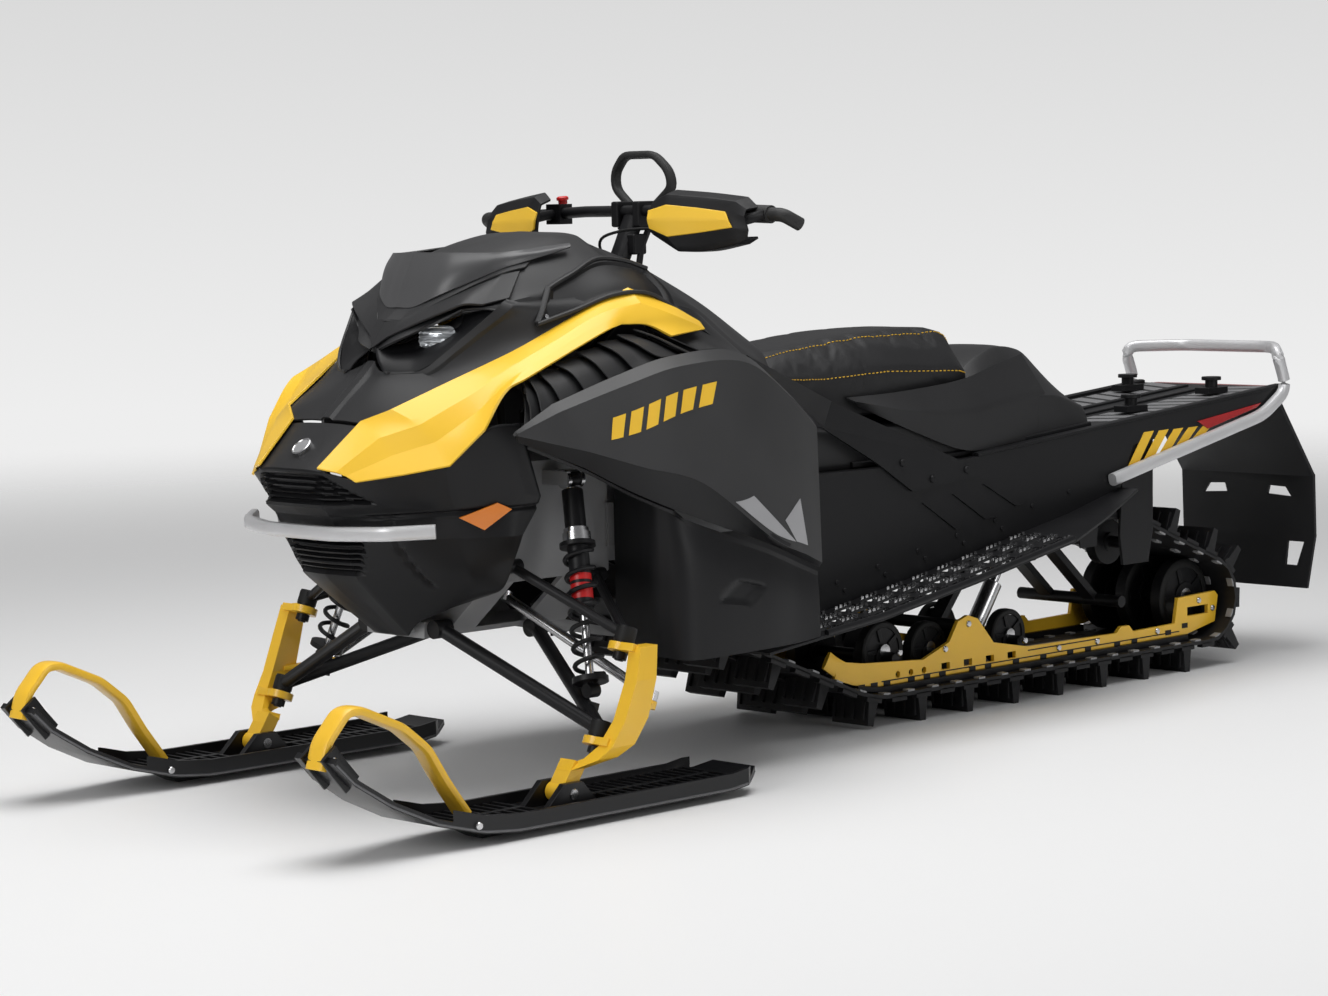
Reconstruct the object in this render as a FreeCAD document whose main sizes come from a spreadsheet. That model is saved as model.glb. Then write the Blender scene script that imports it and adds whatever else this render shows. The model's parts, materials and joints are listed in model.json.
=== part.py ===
import FreeCAD, Part

import math
import os

from FreeCAD import Placement, Rotation, Vector

os.makedirs("parts", exist_ok=True)
doc = FreeCAD.newDocument("Snowmobile")

# The frame of the drawing: X points forward with zero at the ski pivot bolts, Y to the rider's left,
# Z up with zero on the snow. Millimetres.

# Driving dimensions
SIZES = {
    # overall reach before and behind the ski bolts
    "front_reach": 540.0,
    "rear_reach": 2592.0,
    # skis
    "ski_stance": 880.0,
    "ski_width": 176.0,
    "ski_tail_reach": 433.0,
    "ski_keel_depth": 14.0,
    "ski_keel_width": 44.0,
    "ski_deck_thickness": 12.0,
    "ski_lip_height": 20.0,
    "ski_lip_width": 9.0,
    "ski_bolt_height": 50.0,
    "ski_bolt_radius": 7.0,
    "ski_ear_gap": 46.0,
    "ski_ear_thickness": 13.0,
    "ski_loop_width": 26.0,
    "ski_loop_depth": 22.0,
    # king pins and spindles
    "kingpin_y": 456.0,
    "kingpin_low_x": -84.0,
    "kingpin_low_z": 152.0,
    "kingpin_top_x": -150.0,
    "kingpin_top_z": 312.0,
    "stud_radius": 8.0,
    "stud_clearance": 0.5,
    "ball_radius": 18.0,
    "ball_height": 30.0,
    "flange_radius": 25.0,
    "flange_thickness": 14.0,
    "flange_gap": 2.0,
    "spindle_width": 30.0,
    "spindle_depth": 48.0,
    "foot_radius": 17.0,
    "foot_gap": 2.0,
    # tie rods
    "tie_outer_x": -212.0,
    "tie_outer_y": 450.0,
    "tie_outer_z": 197.0,
    "tie_inner_x": -168.0,
    "tie_inner_y": 110.0,
    "tie_inner_z": 357.0,
    "tie_rod_radius": 9.0,
    "tie_end_radius": 15.0,
    "tie_end_height": 18.0,
    "steering_arm_thickness": 14.0,
    # front suspension
    "arm_tube_radius": 13.0,
    "upper_tube_radius": 9.0,
    "shock_radius": 19.5,
    "shock_rod_radius": 7.0,
    "shock_eye_radius": 13.0,
    "spring_radius": 30.0,
    "spring_wire": 4.5,
    "spring_turns": 7.0,
    # track
    "track_width": 381.0,
    "belt_thickness": 8.0,
    "lug_height": 57.0,
    "lug_base": 30.0,
    "lug_tip": 16.0,
    "track_shoes": 51.0,
    "shoe_pitch": 73.4,
    "drive_x": -637.0,
    "drive_z": 345.0,
    "drive_radius": 88.0,
    "bend_x": -1140.0,
    "bend_radius": 300.0,
    "rear_wheel_x": -2190.0,
    "rear_wheel_radius": 87.0,
    "carrier_x": -1915.0,
    "carrier_z": 305.0,
    "carrier_radius": 50.0,
    "wheel_width": 26.0,
    "wheel_gap": 0.3,
    "axle_radius": 12.5,
    # rails
    "rail_y": 150.0,
    "rail_thickness": 9.0,
    "runner_height": 13.0,
    "runner_width": 30.0,
    # tunnel and boards
    "tunnel_half_width": 205.0,
    "flap_half_width": 190.0,
    "sheet_thickness": 4.0,
    "board_outer_y": 370.0,
    "board_thickness": 6.0,
    "bumper_tube_radius": 12.5,
    # hood skin
    "skin_thickness": 5.0,
    "brace_thickness": 7.0,
    "slat_pitch": 10.0,
    "slat_gap": 5.5,
    "upper_grille_top": 604.0,
    "upper_grille_half": 100.0,
    "upper_grille_slots": 5,
    "lower_grille_top": 481.0,
    "lower_grille_half": 76.0,
    "lower_grille_slots": 6,
    "louvre_rise": 8.0,
    "guard_plate_thickness": 4.0,
    "side_panel_thickness": 12.0,
    # handlebar
    "steer_base_x": -596.0,
    "steer_base_z": 900.0,
    "steer_lean": 25.0,
    "steer_rise": 156.0,
    "bar_offset": 5.0,
    "column_radius": 16.0,
    "bearing_length": 36.0,
    "bar_radius": 11.0,
    "grip_radius": 17.0,
    "clamp_radius": 18.0,
    "strap_foot_radius": 9.3,
}

# Named places of the bodywork, left side: forward, left and up from the ski bolts
PLACES = {
    # spine of the hood, front to rear
    "nose_mid": (243, 0, 617),
    "spine_foot": (146, 0, 698),
    "spine_low": (104, 0, 734),
    "spine_high": (62, 0, 770),
    "spine_head": (34, 0, 796),
    # a row half way out, up to the lamp recess
    "nose_half": (241, 46, 617),
    "foot_half": (146, 52, 697),
    "low_half": (110, 78, 724),
    "high_half": (62, 74, 762),
    "lamp_inner": (52, 52, 778),
    "lamp_low": (22, 112, 781),
    "lamp_outer": (-10, 150, 812),
    "lamp_rear": (-54, 180, 856),
    "lamp_top": (-92, 202, 892),
    # border of the dark hood and the coloured panel
    "nose_edge": (237, 86, 617),
    "corner": (145, 100, 695),
    "border_a": (115, 150, 716),
    "border_b": (14, 190, 760),
    "border_c": (-85, 230, 803),
    "border_d": (-158, 241, 833),
    "border_e": (-278, 251, 886),
    "border_peak": (-370, 251, 914),
    "border_fall": (-440, 276, 884),
    "border_end": (-503, 300, 847),
    # crease along the coloured panel
    "crease_tip": (221, 120, 608),
    "crease_a": (150, 158, 664),
    "crease_b": (98, 208, 684),
    "crease_c": (8, 250, 735),
    "crease_d": (-70, 272, 783),
    "crease_e": (-155, 279, 821),
    "crease_f": (-270, 281, 869),
    "crease_g": (-366, 281, 884),
    "crease_h": (-436, 303, 858),
    "crease_end": (-503, 312, 834),
    # lower edge of the coloured panel
    "tip_low": (203, 150, 596),
    "hem_a": (148, 212, 610),
    "hem_b": (92, 270, 624),
    "hem_c": (40, 302, 684),
    "hem_d": (-8, 306, 746),
    "hem_e": (-60, 312, 769),
    "hem_f": (-236, 312, 836),
    "hem_g": (-300, 302, 852),
    "hem_h": (-362, 304, 848),
    "hem_end": (-404, 324, 826),
    # brow over the lamps and edge of the dash cowl
    "brow_mid": (36, 0, 818),
    "brow_inner": (46, 48, 838),
    "brow_a": (18, 90, 858),
    "brow_b": (-42, 160, 898),
    "cowl_a": (-24, 0, 884),
    "cowl_b": (-86, 0, 955),
    "cowl_c": (-190, 0, 1000),
    "cowl_d": (-358, 0, 1026),
    "cowl_e": (-428, 0, 1002),
    "cowl_f": (-540, 0, 962),
    "cowl_g": (-690, 0, 905),
    "cowl_h": (-830, 0, 812),
    "slope_a": (-26, 48, 888),
    "slope_b": (-118, 158, 944),
    "slope_c": (-186, 172, 962),
    "slope_d": (-352, 112, 1022),
    "slope_e": (-418, 128, 996),
    "slope_f": (-540, 132, 940),
    "slope_g": (-690, 148, 850),
    "slope_h": (-832, 126, 782),
    "cowl_side_f": (-560, 296, 806),
    "cowl_side_g": (-680, 262, 736),
    "cowl_side_h": (-832, 168, 706),
    # nose fascia, five rows down from the hem
    "shelf_mid": (230, 0, 548),
    "shelf_edge": (226, 82, 548),
    "shelf_turn": (150, 166, 546),
    "shelf_side": (62, 252, 543),
    "shelf_rear": (-38, 298, 560),
    "chin_mid": (186, 0, 490),
    "chin_edge": (184, 80, 490),
    "chin_turn": (138, 160, 490),
    "chin_side": (48, 246, 490),
    "chin_rear": (-20, 290, 489),
    "jaw_mid": (168, 0, 430),
    "jaw_edge": (160, 78, 430),
    "jaw_turn": (100, 148, 430),
    "jaw_side": (18, 232, 430),
    "jaw_rear": (-54, 270, 452),
    "keel_mid": (122, 0, 382),
    "keel_edge": (112, 70, 382),
    "keel_turn": (58, 134, 384),
    "keel_side": (-8, 206, 388),
    "keel_rear": (-44, 250, 392),
    "sump_mid": (14, 0, 296),
    "sump_edge": (12, 50, 296),
    "sump_turn": (20, 86, 322),
    "sump_side": (-6, 150, 352),
    "sump_rear": (-48, 205, 374),
    "shelf_half": (228, 44, 548),
    "shelf_flank": (108, 212, 545),
    "chin_half": (186, 42, 490),
    "chin_flank": (95, 206, 490),
    "jaw_half": (165, 42, 430),
    "jaw_flank": (62, 194, 430),
    "keel_half": (119, 36, 382),
    "keel_flank": (26, 172, 386),
    "sump_half": (14, 26, 295),
    "sump_flank": (8, 118, 337),
    "hem_fascia": (18, 330, 688),
    "vent_a": (-70, 347, 722),
    "vent_b": (-150, 345, 745),
    "vent_c": (-232, 344, 767),
    "vent_d": (-300, 344, 781),
    "vent_e": (-366, 346, 794),
    "vent_f": (-440, 348, 800),
    # windshield
    "rim_mid": (-76, 0, 986),
    "rim_half": (-98, 82, 985),
    "rim_end": (-145, 152, 983),
    "glass_mid": (-46, 0, 934),
    "glass_half": (-66, 84, 938),
    "glass_end": (-130, 164, 962),
    "foot_mid": (-16, 0, 893),
    "foot_side": (-62, 92, 918),
    "foot_end": (-124, 166, 949),
    # brace from the tunnel's side to the cowl, and the wing over its top
    "brace_low_front": (-1181, 205.3, 476),
    "brace_low_rear": (-1393, 205.3, 494),
    "brace_rear": (-1322, 205.3, 531),
    "brace_head": (-957, 205.3, 668),
    "brace_tip": (-760, 205.3, 742),
    "brace_tip_low": (-740, 205.3, 690),
    "brace_neck": (-930, 205.3, 617),
    "brace_knee": (-1076, 205.3, 541),
    "wing_top": (-560, 366, 786),
    "wing_front": (-650, 364, 716),
    "wing_low": (-722, 362, 645),
    "wing_head": (-950, 211, 672),
    "wing_neck": (-926, 211, 622),
    "wing_hole_a": (-676, 350, 690),
    "wing_hole_b": (-735, 330, 666),
    "wing_hole_c": (-700, 350, 644),
    # gauge pod and red side reflector
    "gauge_foot": (-462, 0, 962),
    "gauge_face": (-494, 0, 1008),
    "red_front_top": (-2125, 205, 559),
    "red_rear_top": (-2358, 205, 586),
    "red_rear_low": (-2340, 205, 576),
    "red_front_low": (-2162, 205, 540),
    # side panel, front to rear: upper edge, crease, lower edge of its shoulder, the eave under the
    # shoulder, which turns inboard behind the shock, and the hem
    "side_top_a": (46, 398, 684),
    "side_top_b": (-70, 366, 724),
    "side_top_c": (-230, 362, 766),
    "side_top_d": (-366, 366, 795),
    "side_top_e": (-524, 370, 796),
    "side_top_f": (-640, 372, 726),
    "side_top_g": (-728, 370, 655),
    "side_mid_a": (41, 400, 676),
    "side_mid_b": (-118, 408, 638),
    "side_mid_c": (-240, 414, 602),
    "side_mid_d": (-384, 420, 562),
    "side_mid_e": (-560, 416, 448),
    "side_mid_f": (-682, 388, 404),
    "side_mid_g": (-742, 374, 382),
    "side_low_a": (34, 398, 664),
    "side_low_b": (-127, 402, 607),
    "side_low_c": (-245, 406, 554),
    "side_low_d": (-391, 410, 498),
    "side_low_e": (-574, 406, 436),
    "side_low_f": (-686, 382, 394),
    "side_low_g": (-743, 371, 372),
    "side_eave_a": (-338, 230, 602),
    "side_eave_b": (-338, 300, 580),
    "side_eave_c": (-340, 362, 540),
    "side_eave_d": (-388, 400, 486),
    "side_eave_e": (-572, 398, 424),
    "side_eave_f": (-684, 378, 384),
    "side_eave_g": (-743, 369, 362),
    "side_hem_a": (-338, 230, 252),
    "side_hem_b": (-338, 300, 247),
    "side_hem_c": (-342, 352, 242),
    "side_hem_d": (-384, 396, 236),
    "side_hem_e": (-560, 392, 236),
    "side_hem_f": (-680, 376, 236),
    "side_hem_g": (-742, 368, 240),
}

sheet = doc.addObject("Spreadsheet::Sheet", "sizes")
cells = dict(SIZES)
for place, (forward, left, up) in PLACES.items():
    cells[place + "_x"] = forward
    cells[place + "_y"] = left
    cells[place + "_z"] = up
for row, (alias, value) in enumerate(cells.items(), start=1):
    sheet.set(f"A{row}", alias)
    sheet.set(f"B{row}", repr(float(value)))
    sheet.setAlias(f"B{row}", alias)
doc.recompute()


def size(alias):
    """One value of the sheet."""
    return float(sheet.get(alias))


def place(name):
    """One named place of the bodywork; a name that ends in _r is its mirror image."""
    if name.endswith("_r"):
        point = place(name[:-2])
        return Vector(point.x, -point.y, point.z)
    return Vector(size(name + "_x"), size(name + "_y"), size(name + "_z"))


NODES = []
SHIFT = "(sizes.rear_reach - sizes.front_reach) / 2"


def keep(item, label):
    """Names a sub-part and moves it so that the origin is under the middle of the whole machine."""
    item.Label = label
    item.setExpression("Placement.Base.x", SHIFT)
    NODES.append(item)
    return item


def free_form(label, shape):
    """A sub-part whose shape is worked out from the sheet."""
    item = doc.addObject("Part::Feature", label)
    item.Shape = shape
    return keep(item, label)


def mirrored(label, source):
    """The right-hand twin of a left-hand sub-part."""
    item = doc.addObject("Part::Mirroring", label)
    item.Source = source
    item.Normal = Vector(0, 1, 0)
    item.Label = label
    NODES.append(item)
    return item


def new_body(label):
    return keep(doc.addObject("PartDesign::Body", label), label)


def origin_plane(body, role):
    return next(item for item in body.Origin.OriginFeatures if item.Role == role)


def sketch(body, role, loops, lift=None):
    """A sketch on one of the body's own origin planes. A loop is a list of points or (centre, radius)."""
    drawing = body.newObject("Sketcher::SketchObject", body.Name + "_sketch")
    drawing.AttachmentSupport = (origin_plane(body, role), [""])
    drawing.MapMode = "FlatFace"
    if lift:
        drawing.setExpression("AttachmentOffset.Base.z", lift)
    for loop in loops:
        if len(loop) == 2 and not hasattr(loop[1], "__len__"):
            (across, up), radius = loop
            drawing.addGeometry(Part.Circle(Vector(across, up, 0), Vector(0, 0, 1), radius))
            continue
        corners = [Vector(across, up, 0) for across, up in loop]
        for start, end in zip(corners, corners[1:] + corners[:1]):
            drawing.addGeometry(Part.LineSegment(start, end))
    return drawing


def pad(body, drawing, length, symmetric=False):
    """A pad whose length is an expression in the sheet's names."""
    feature = body.newObject("PartDesign::Pad", body.Name + "_pad")
    feature.Profile = drawing
    feature.SideType = "Symmetric" if symmetric else "One side"
    feature.setExpression("Length", length)
    return feature


def pocket(body, drawing, length, symmetric=False, reverse=False):
    feature = body.newObject("PartDesign::Pocket", body.Name + "_pocket")
    feature.Profile = drawing
    feature.SideType = "Symmetric" if symmetric else "One side"
    feature.Reversed = reverse
    feature.setExpression("Length", length)
    return feature


def side_plate(label, loops, outer, thickness):
    """A plate cut from a side view; its outer face lies at Y = outer, its thickness goes inwards."""
    body = new_body(label)
    drawing = sketch(body, "XZ_Plane", loops, "-(" + outer + ")")
    pad(body, drawing, thickness)
    return body


def rod(start, end, radius):
    """A round bar between two points."""
    return Part.makeCylinder(radius, (end - start).Length, start, end - start)


def bent_tube(points, radius, bend):
    """A round tube along straight runs joined by arcs of the bend radius."""
    edges = []
    begin = points[0]
    for before, corner, after in zip(points, points[1:], points[2:]):
        inward = (before - corner).normalize()
        onward = (after - corner).normalize()
        half = inward.getAngle(onward) / 2
        run = bend / math.tan(half)
        arc_start = corner + inward * run
        arc_end = corner + onward * run
        centre = corner + (inward + onward).normalize() * (bend / math.sin(half))
        middle = centre + (corner - centre).normalize() * bend
        edges.append(Part.LineSegment(begin, arc_start).toShape())
        edges.append(Part.Arc(arc_start, middle, arc_end).toShape())
        begin = arc_end
    edges.append(Part.LineSegment(begin, points[-1]).toShape())
    path = Part.Wire(edges)
    ring = Part.Wire([Part.makeCircle(radius, points[0], points[1] - points[0])])
    return path.makePipeShell([ring], True, True)


def frame_at(direction):
    """Two unit vectors across a direction: one level, one upright."""
    ahead = Vector(direction).normalize()
    level = ahead.cross(Vector(0, 0, 1))
    if level.Length < 1e-6:
        level = Vector(0, 1, 0)
    level.normalize()
    return level, level.cross(ahead)


def section(centre, direction, width, depth):
    """A rectangular wire across a direction."""
    level, upright = frame_at(direction)
    corners = []
    for across, up in ((-1, -1), (1, -1), (1, 1), (-1, 1)):
        corners.append(centre + level * (across * width / 2) + upright * (up * depth / 2))
    return Part.makePolygon(corners + corners[:1])


def polyhedron(triangles):
    """A closed solid from triangles of points."""
    faces = []
    for corners in triangles:
        faces.append(Part.Face(Part.makePolygon(list(corners) + [corners[0]])))
    solid = Part.Solid(Part.makeShell(faces))
    if solid.Volume < 0:
        solid.reverse()
    return solid


def corners_of(grid):
    """The cells of a grid of names, as quads; a cell that lacks a corner is left out."""
    quads = []
    for upper, lower in zip(grid, grid[1:]):
        for at in range(len(upper) - 1):
            quad = (upper[at], lower[at], lower[at + 1], upper[at + 1])
            if None not in quad:
                quads.append(quad)
    return quads


def other_side(name):
    """The name of a place on the other side; one on the middle plane is its own."""
    if abs(size(name + "_y")) < 1e-9:
        return name
    return name + "_r"


def both_sides(quads):
    """Quads of the left half with their mirror images."""
    twins = []
    for quad in quads:
        twins.append(tuple(other_side(name) for name in reversed(quad)))
    return quads + twins


def triangles_of(quad):
    """The two triangles of a quad of names, without any that has no area."""
    first, second, third, fourth = quad
    if first.endswith("_r") or third.endswith("_r") or second.endswith("_r"):
        pair = [(first, second, fourth), (second, third, fourth)]
    else:
        pair = [(first, second, third), (first, third, fourth)]
    return [trio for trio in pair if len(set(trio)) == 3]


def outward(trios):
    """The mean outward direction at each named place of a skin."""
    normals = {}
    for trio in trios:
        first, second, third = (place(name) for name in trio)
        facet = (second - first).cross(third - first)
        for name in trio:
            normals[name] = normals.get(name, Vector()) + facet
    return {name: Vector(normal).normalize() for name, normal in normals.items()}


def skin(trios, normals, thickness):
    """A thick skin: outer triangles, the same set inwards, and walls along the free edges."""
    inner = {}
    for trio in trios:
        for name in trio:
            inner[name] = place(name) - normals[name] * thickness
    edges = {(trio[i], trio[(i + 1) % 3]) for trio in trios for i in range(3)}
    solid = []
    for first, second, third in trios:
        solid.append((place(first), place(second), place(third)))
        solid.append((inner[third], inner[second], inner[first]))
    for start, end in sorted(edges):
        if (end, start) in edges:
            continue
        if start < end:
            solid.append((place(end), place(start), inner[start]))
            solid.append((place(end), inner[start], inner[end]))
        else:
            solid.append((place(start), inner[end], place(end)))
            solid.append((place(start), inner[start], inner[end]))
    return polyhedron(solid)


# Track: one closed loop round the rear wheels, the rail's front bend, the drive and the carrier rollers

def belt_gap(radius):
    """Room between a wheel and the belt's line: the belt is stiff between its bars, so it bends there."""
    bar = size("shoe_pitch") / 2
    return size("wheel_gap") + bar * bar / (8 * radius)


def loop_circles():
    """The circles that the inside of the belt runs round, in running order."""
    floor = size("lug_height") + size("belt_thickness")
    rear = size("rear_wheel_radius") + belt_gap(size("rear_wheel_radius"))
    drive = size("drive_radius") + belt_gap(size("drive_radius"))
    carrier = size("carrier_radius") + belt_gap(size("carrier_radius"))
    bend = size("bend_radius")
    return [
        (size("rear_wheel_x"), floor + rear, rear),
        (size("bend_x"), floor + bend, bend),
        (size("drive_x"), size("drive_z"), drive),
        (size("carrier_x"), size("carrier_z"), carrier),
    ]


def loop_spans():
    """Straight and round spans of the loop: (length, point and outward normal at a distance)."""
    circles = loop_circles()
    headings = []
    for (x_a, z_a, r_a), (x_b, z_b, r_b) in zip(circles, circles[1:] + circles[:1]):
        reach = math.hypot(x_b - x_a, z_b - z_a)
        headings.append(math.atan2(z_b - z_a, x_b - x_a) + math.asin((r_a - r_b) / reach))
    spans = []
    for at, (x_c, z_c, radius) in enumerate(circles):
        came, leaves = headings[at - 1], headings[at]
        turn = (leaves - came) % (2 * math.pi)
        spans.append(("arc", radius * turn, (x_c, z_c, radius, came)))
        x_n, z_n, r_n = circles[(at + 1) % len(circles)]
        start = (x_c + radius * math.sin(leaves), z_c - radius * math.cos(leaves))
        end = (x_n + r_n * math.sin(leaves), z_n - r_n * math.cos(leaves))
        length = math.hypot(end[0] - start[0], end[1] - start[1])
        spans.append(("run", length, (start, leaves)))
    return spans


def loop_point(spans, distance):
    """Point on the inside of the belt and the outward direction there."""
    for kind, length, data in spans:
        if distance <= length:
            break
        distance -= length
    if kind == "arc":
        x_c, z_c, radius, came = data
        heading = came + distance / radius
        out = Vector(math.sin(heading), 0, -math.cos(heading))
        return Vector(x_c, 0, z_c) + out * radius, out
    (x_s, z_s), heading = data
    out = Vector(math.sin(heading), 0, -math.cos(heading))
    return Vector(x_s + distance * math.cos(heading), 0, z_s + distance * math.sin(heading)), out


def make_track():
    spans = loop_spans()
    around = sum(length for kind, length, data in spans)
    shoes = int(size("track_shoes"))
    pitch = around / shoes
    print("track loop", round(around), "mm, pitch", round(pitch, 2), "mm")
    half = size("track_width") / 2
    steps = 2 * shoes
    inside, outside = [], []
    for step in range(steps):
        point, out = loop_point(spans, step * pitch / 2)
        inside.append(point)
        outside.append(point + out * size("belt_thickness"))
    shift = Vector(0, -half, 0)
    slabs = []
    for ring in (outside, inside):
        outline = Part.Face(Part.makePolygon([point + shift for point in ring + ring[:1]]))
        slabs.append(outline.extrude(Vector(0, 2 * half, 0)))
    belt = slabs[0].cut(slabs[1])
    lugs = []
    for shoe in range(shoes):
        point, out = loop_point(spans, (shoe + 0.5) * pitch)
        along = Vector(out.z, 0, -out.x)
        root = point + out * (size("belt_thickness") * 0.5)
        tip = point + out * (size("belt_thickness") + size("lug_height"))
        outline = [
            root - along * (size("lug_base") / 2), root + along * (size("lug_base") / 2),
            tip + along * (size("lug_tip") / 2), tip - along * (size("lug_tip") / 2),
        ]
        if shoe % 2:
            rows = [(-half * 0.42, half * 0.42)]
        else:
            rows = [(3 - half, -half * 0.46), (half * 0.46, half - 3)]
        for low, high in rows:
            corners = [corner + Vector(0, low, 0) for corner in outline]
            profile = Part.Face(Part.makePolygon(corners + corners[:1]))
            lugs.append(profile.extrude(Vector(0, high - low, 0)))
    return belt.fuse(lugs).Solids[0]


free_form("track", make_track())


# Rear suspension: rails with their towers, runners, wheels, arms and shocks

def rail_floor():
    return size("lug_height") + size("belt_thickness") + size("wheel_gap") + size("runner_height")


floor = rail_floor()
rail_outline = [
    (-1003, floor + 28), (-1060, floor + 10), (-1133, floor), (-2150, floor), (-2250, 97), (-2262, 155),
    (-2251, 166), (-2117, 162), (-2105, 106), (-1958, 104), (-1943, 119), (-1915, 119), (-1900, 106),
    (-1598, 110), (-1490, 130), (-1440, 186), (-1409, 196), (-1378, 186), (-1350, 146), (-1269, 118),
    (-1090, 130), (-1010, 142),
]
rail_holes = [((hole_x, floor + 18), 7.0) for hole_x in (-1110, -1150, -1190, -1230, -1270)]
rail_holes += [[(x, floor + 12), (x + 26, floor + 12), (x + 26, floor + 26), (x, floor + 26)]
               for x in (-1350, -1420, -1490, -1560)]
rail_holes += [[(-2225, 118), (-2150, 118), (-2150, 138), (-2225, 138)]]
rail_left = side_plate("rail_left", [rail_outline] + rail_holes,
                       "sizes.rail_y + sizes.rail_thickness / 2", "sizes.rail_thickness")
mirrored("rail_right", rail_left)


def make_runners():
    """The plastic strips under the rails that the track slides on."""
    low = size("lug_height") + size("belt_thickness") + size("wheel_gap")
    high = low + size("runner_height")
    outline = [(-2140, low), (-1140, low), (-1060, low + 11.4), (-1060, high + 9.6), (-1133, high - 0.1),
               (-2140, high - 0.1)]
    strips = []
    for side in (-1, 1):
        start = side * size("rail_y") - size("runner_width") / 2
        corners = [Vector(x, start, z) for x, z in outline]
        face = Part.Face(Part.makePolygon(corners + corners[:1]))
        strips.append(face.extrude(Vector(0, size("runner_width"), 0)))
    return Part.Compound(strips)


free_form("slide_runners", make_runners())


def wheel(x, z, y, radius, width):
    """A wheel disc with a hub that stands out on both sides."""
    disc = Part.makeCylinder(radius, width, Vector(x, y - width / 2, z), Vector(0, 1, 0))
    hub = Part.makeCylinder(radius * 0.4, width + 12, Vector(x, y - width / 2 - 6, z), Vector(0, 1, 0))
    return disc.fuse(hub)


def axle(x, z, half_length, radius):
    return Part.makeCylinder(radius, 2 * half_length, Vector(x, -half_length, z), Vector(0, 1, 0))


def make_rail_wheels():
    """Idler wheels between the rails, in pairs on their cross shafts."""
    low = size("lug_height") + size("belt_thickness") + size("wheel_gap")
    span = size("rail_y") - size("rail_thickness") / 2
    sets = []
    for x, radius in ((-1195, 62), (-1335, 55), (-1590, 55)):
        pair = axle(x, low + radius, span, size("axle_radius"))
        for y in (-95, 95):
            pair = pair.fuse(wheel(x, low + radius, y, radius, size("wheel_width")))
        sets.append(pair)
    return Part.Compound(sets)


free_form("rail_wheels", make_rail_wheels())


def make_rear_wheels():
    x, z = loop_circles()[0][:2]
    radius = size("rear_wheel_radius")
    shape = axle(x, z, size("rail_y") - size("rail_thickness") / 2, size("axle_radius"))
    shape = shape.fuse(axle(x, z, 112, 21))
    for y in (-100, 0, 100):
        shape = shape.fuse(wheel(x, z, y, radius, size("wheel_width")))
    return shape


free_form("rear_wheels", make_rear_wheels())


def tunnel_inside():
    """Half the clear width between the tunnel's side walls, less a running gap."""
    return size("tunnel_half_width") - size("sheet_thickness") - 0.4


def make_drive_axle():
    x, z, radius = size("drive_x"), size("drive_z"), size("drive_radius")
    shape = axle(x, z, tunnel_inside(), 16)
    for y in (-60, 60):
        shape = shape.fuse(wheel(x, z, y, radius, 40))
    return shape


free_form("drive_axle", make_drive_axle())


def make_carrier():
    """Top rollers and the hangers that carry them under the tunnel."""
    x, z, radius = size("carrier_x"), size("carrier_z"), size("carrier_radius")
    shape = axle(x, z, 200, size("axle_radius"))
    for y in (-110, 110):
        shape = shape.fuse(wheel(x, z, y, radius, size("wheel_width")))
    for side in (-1, 1):
        corners = [Vector(cx, side * 197 - 3.5, cz) for cx, cz in
                   ((x - 40, z - 43), (x + 47, z - 43), (x + 57, z + 25), (x + 40, z + 235), (x - 60, z + 235),
                    (x - 57, z + 25))]
        face = Part.Face(Part.makePolygon(corners + corners[:1]))
        shape = shape.fuse(face.extrude(Vector(0, 7, 0)))
    return shape


def box_beam(start, end, width, depth):
    return Part.makeLoft([section(start, end - start, width, depth), section(end, end - start, width, depth)],
                         True, True)


def make_swing_arms():
    """Front and rear arms: a cross tube on the rails and two legs up to the tunnel."""
    arms = []
    for (x_low, z_low), (x_high, z_high) in (((-1409, 172), (-1540, 325)), ((-1930, 172), (-1745, 335))):
        span = size("rail_y") - size("rail_thickness") / 2 - 0.3
        arm = axle(x_low, z_low, span, 13).fuse(axle(x_high, z_high, tunnel_inside(), 13))
        for side in (-1, 1):
            arm = arm.fuse(box_beam(Vector(x_low, side * 62, z_low), Vector(x_high, side * 62, z_high), 34, 16))
        arms.append(arm)
    return Part.Compound(arms)


def make_skid_shock():
    """The long rear shock that lies between the two arms."""
    low = Vector(-1590, 0, 120.3)
    high = Vector(-1745, 0, 335)
    line = (high - low).normalize()
    low, high = low + line * 12.9, high - line * 13.4
    return rod(low, high, 9).fuse(rod(low + line * 6, low + line * 120, 20))


free_form("swing_arms", make_swing_arms())
free_form("skid_shock", make_skid_shock())
free_form("carrier_rollers", make_carrier())

# Tunnel and running boards

tunnel = new_body("tunnel")
tunnel_outline = [
    (-560, 530), (-560, 214), (-921, 252), (-1206, 299), (-1495, 352), (-1510, 300), (-1570, 300),
    (-1585, 368), (-1678, 385), (-1705, 391), (-1718, 312), (-1772, 312), (-1786, 411), (-1853, 427),
    (-1900, 522), (-2440, 574), (-2440, 618), (-1361, 530),
]
pad(tunnel, sketch(tunnel, "XZ_Plane", [tunnel_outline]), "2 * sizes.tunnel_half_width", True)
thin = size("sheet_thickness")
tunnel_cavity = [
    (-550, 530 - thin), (-550, 200), (-1510, 200), (-1860, 300), (-2450, 560), (-2450, 618.8 - thin),
    (-1361, 530 - thin),
]
pocket(tunnel, sketch(tunnel, "XZ_Plane", [tunnel_cavity]),
       "2 * (sizes.tunnel_half_width - sizes.sheet_thickness)", True)

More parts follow.
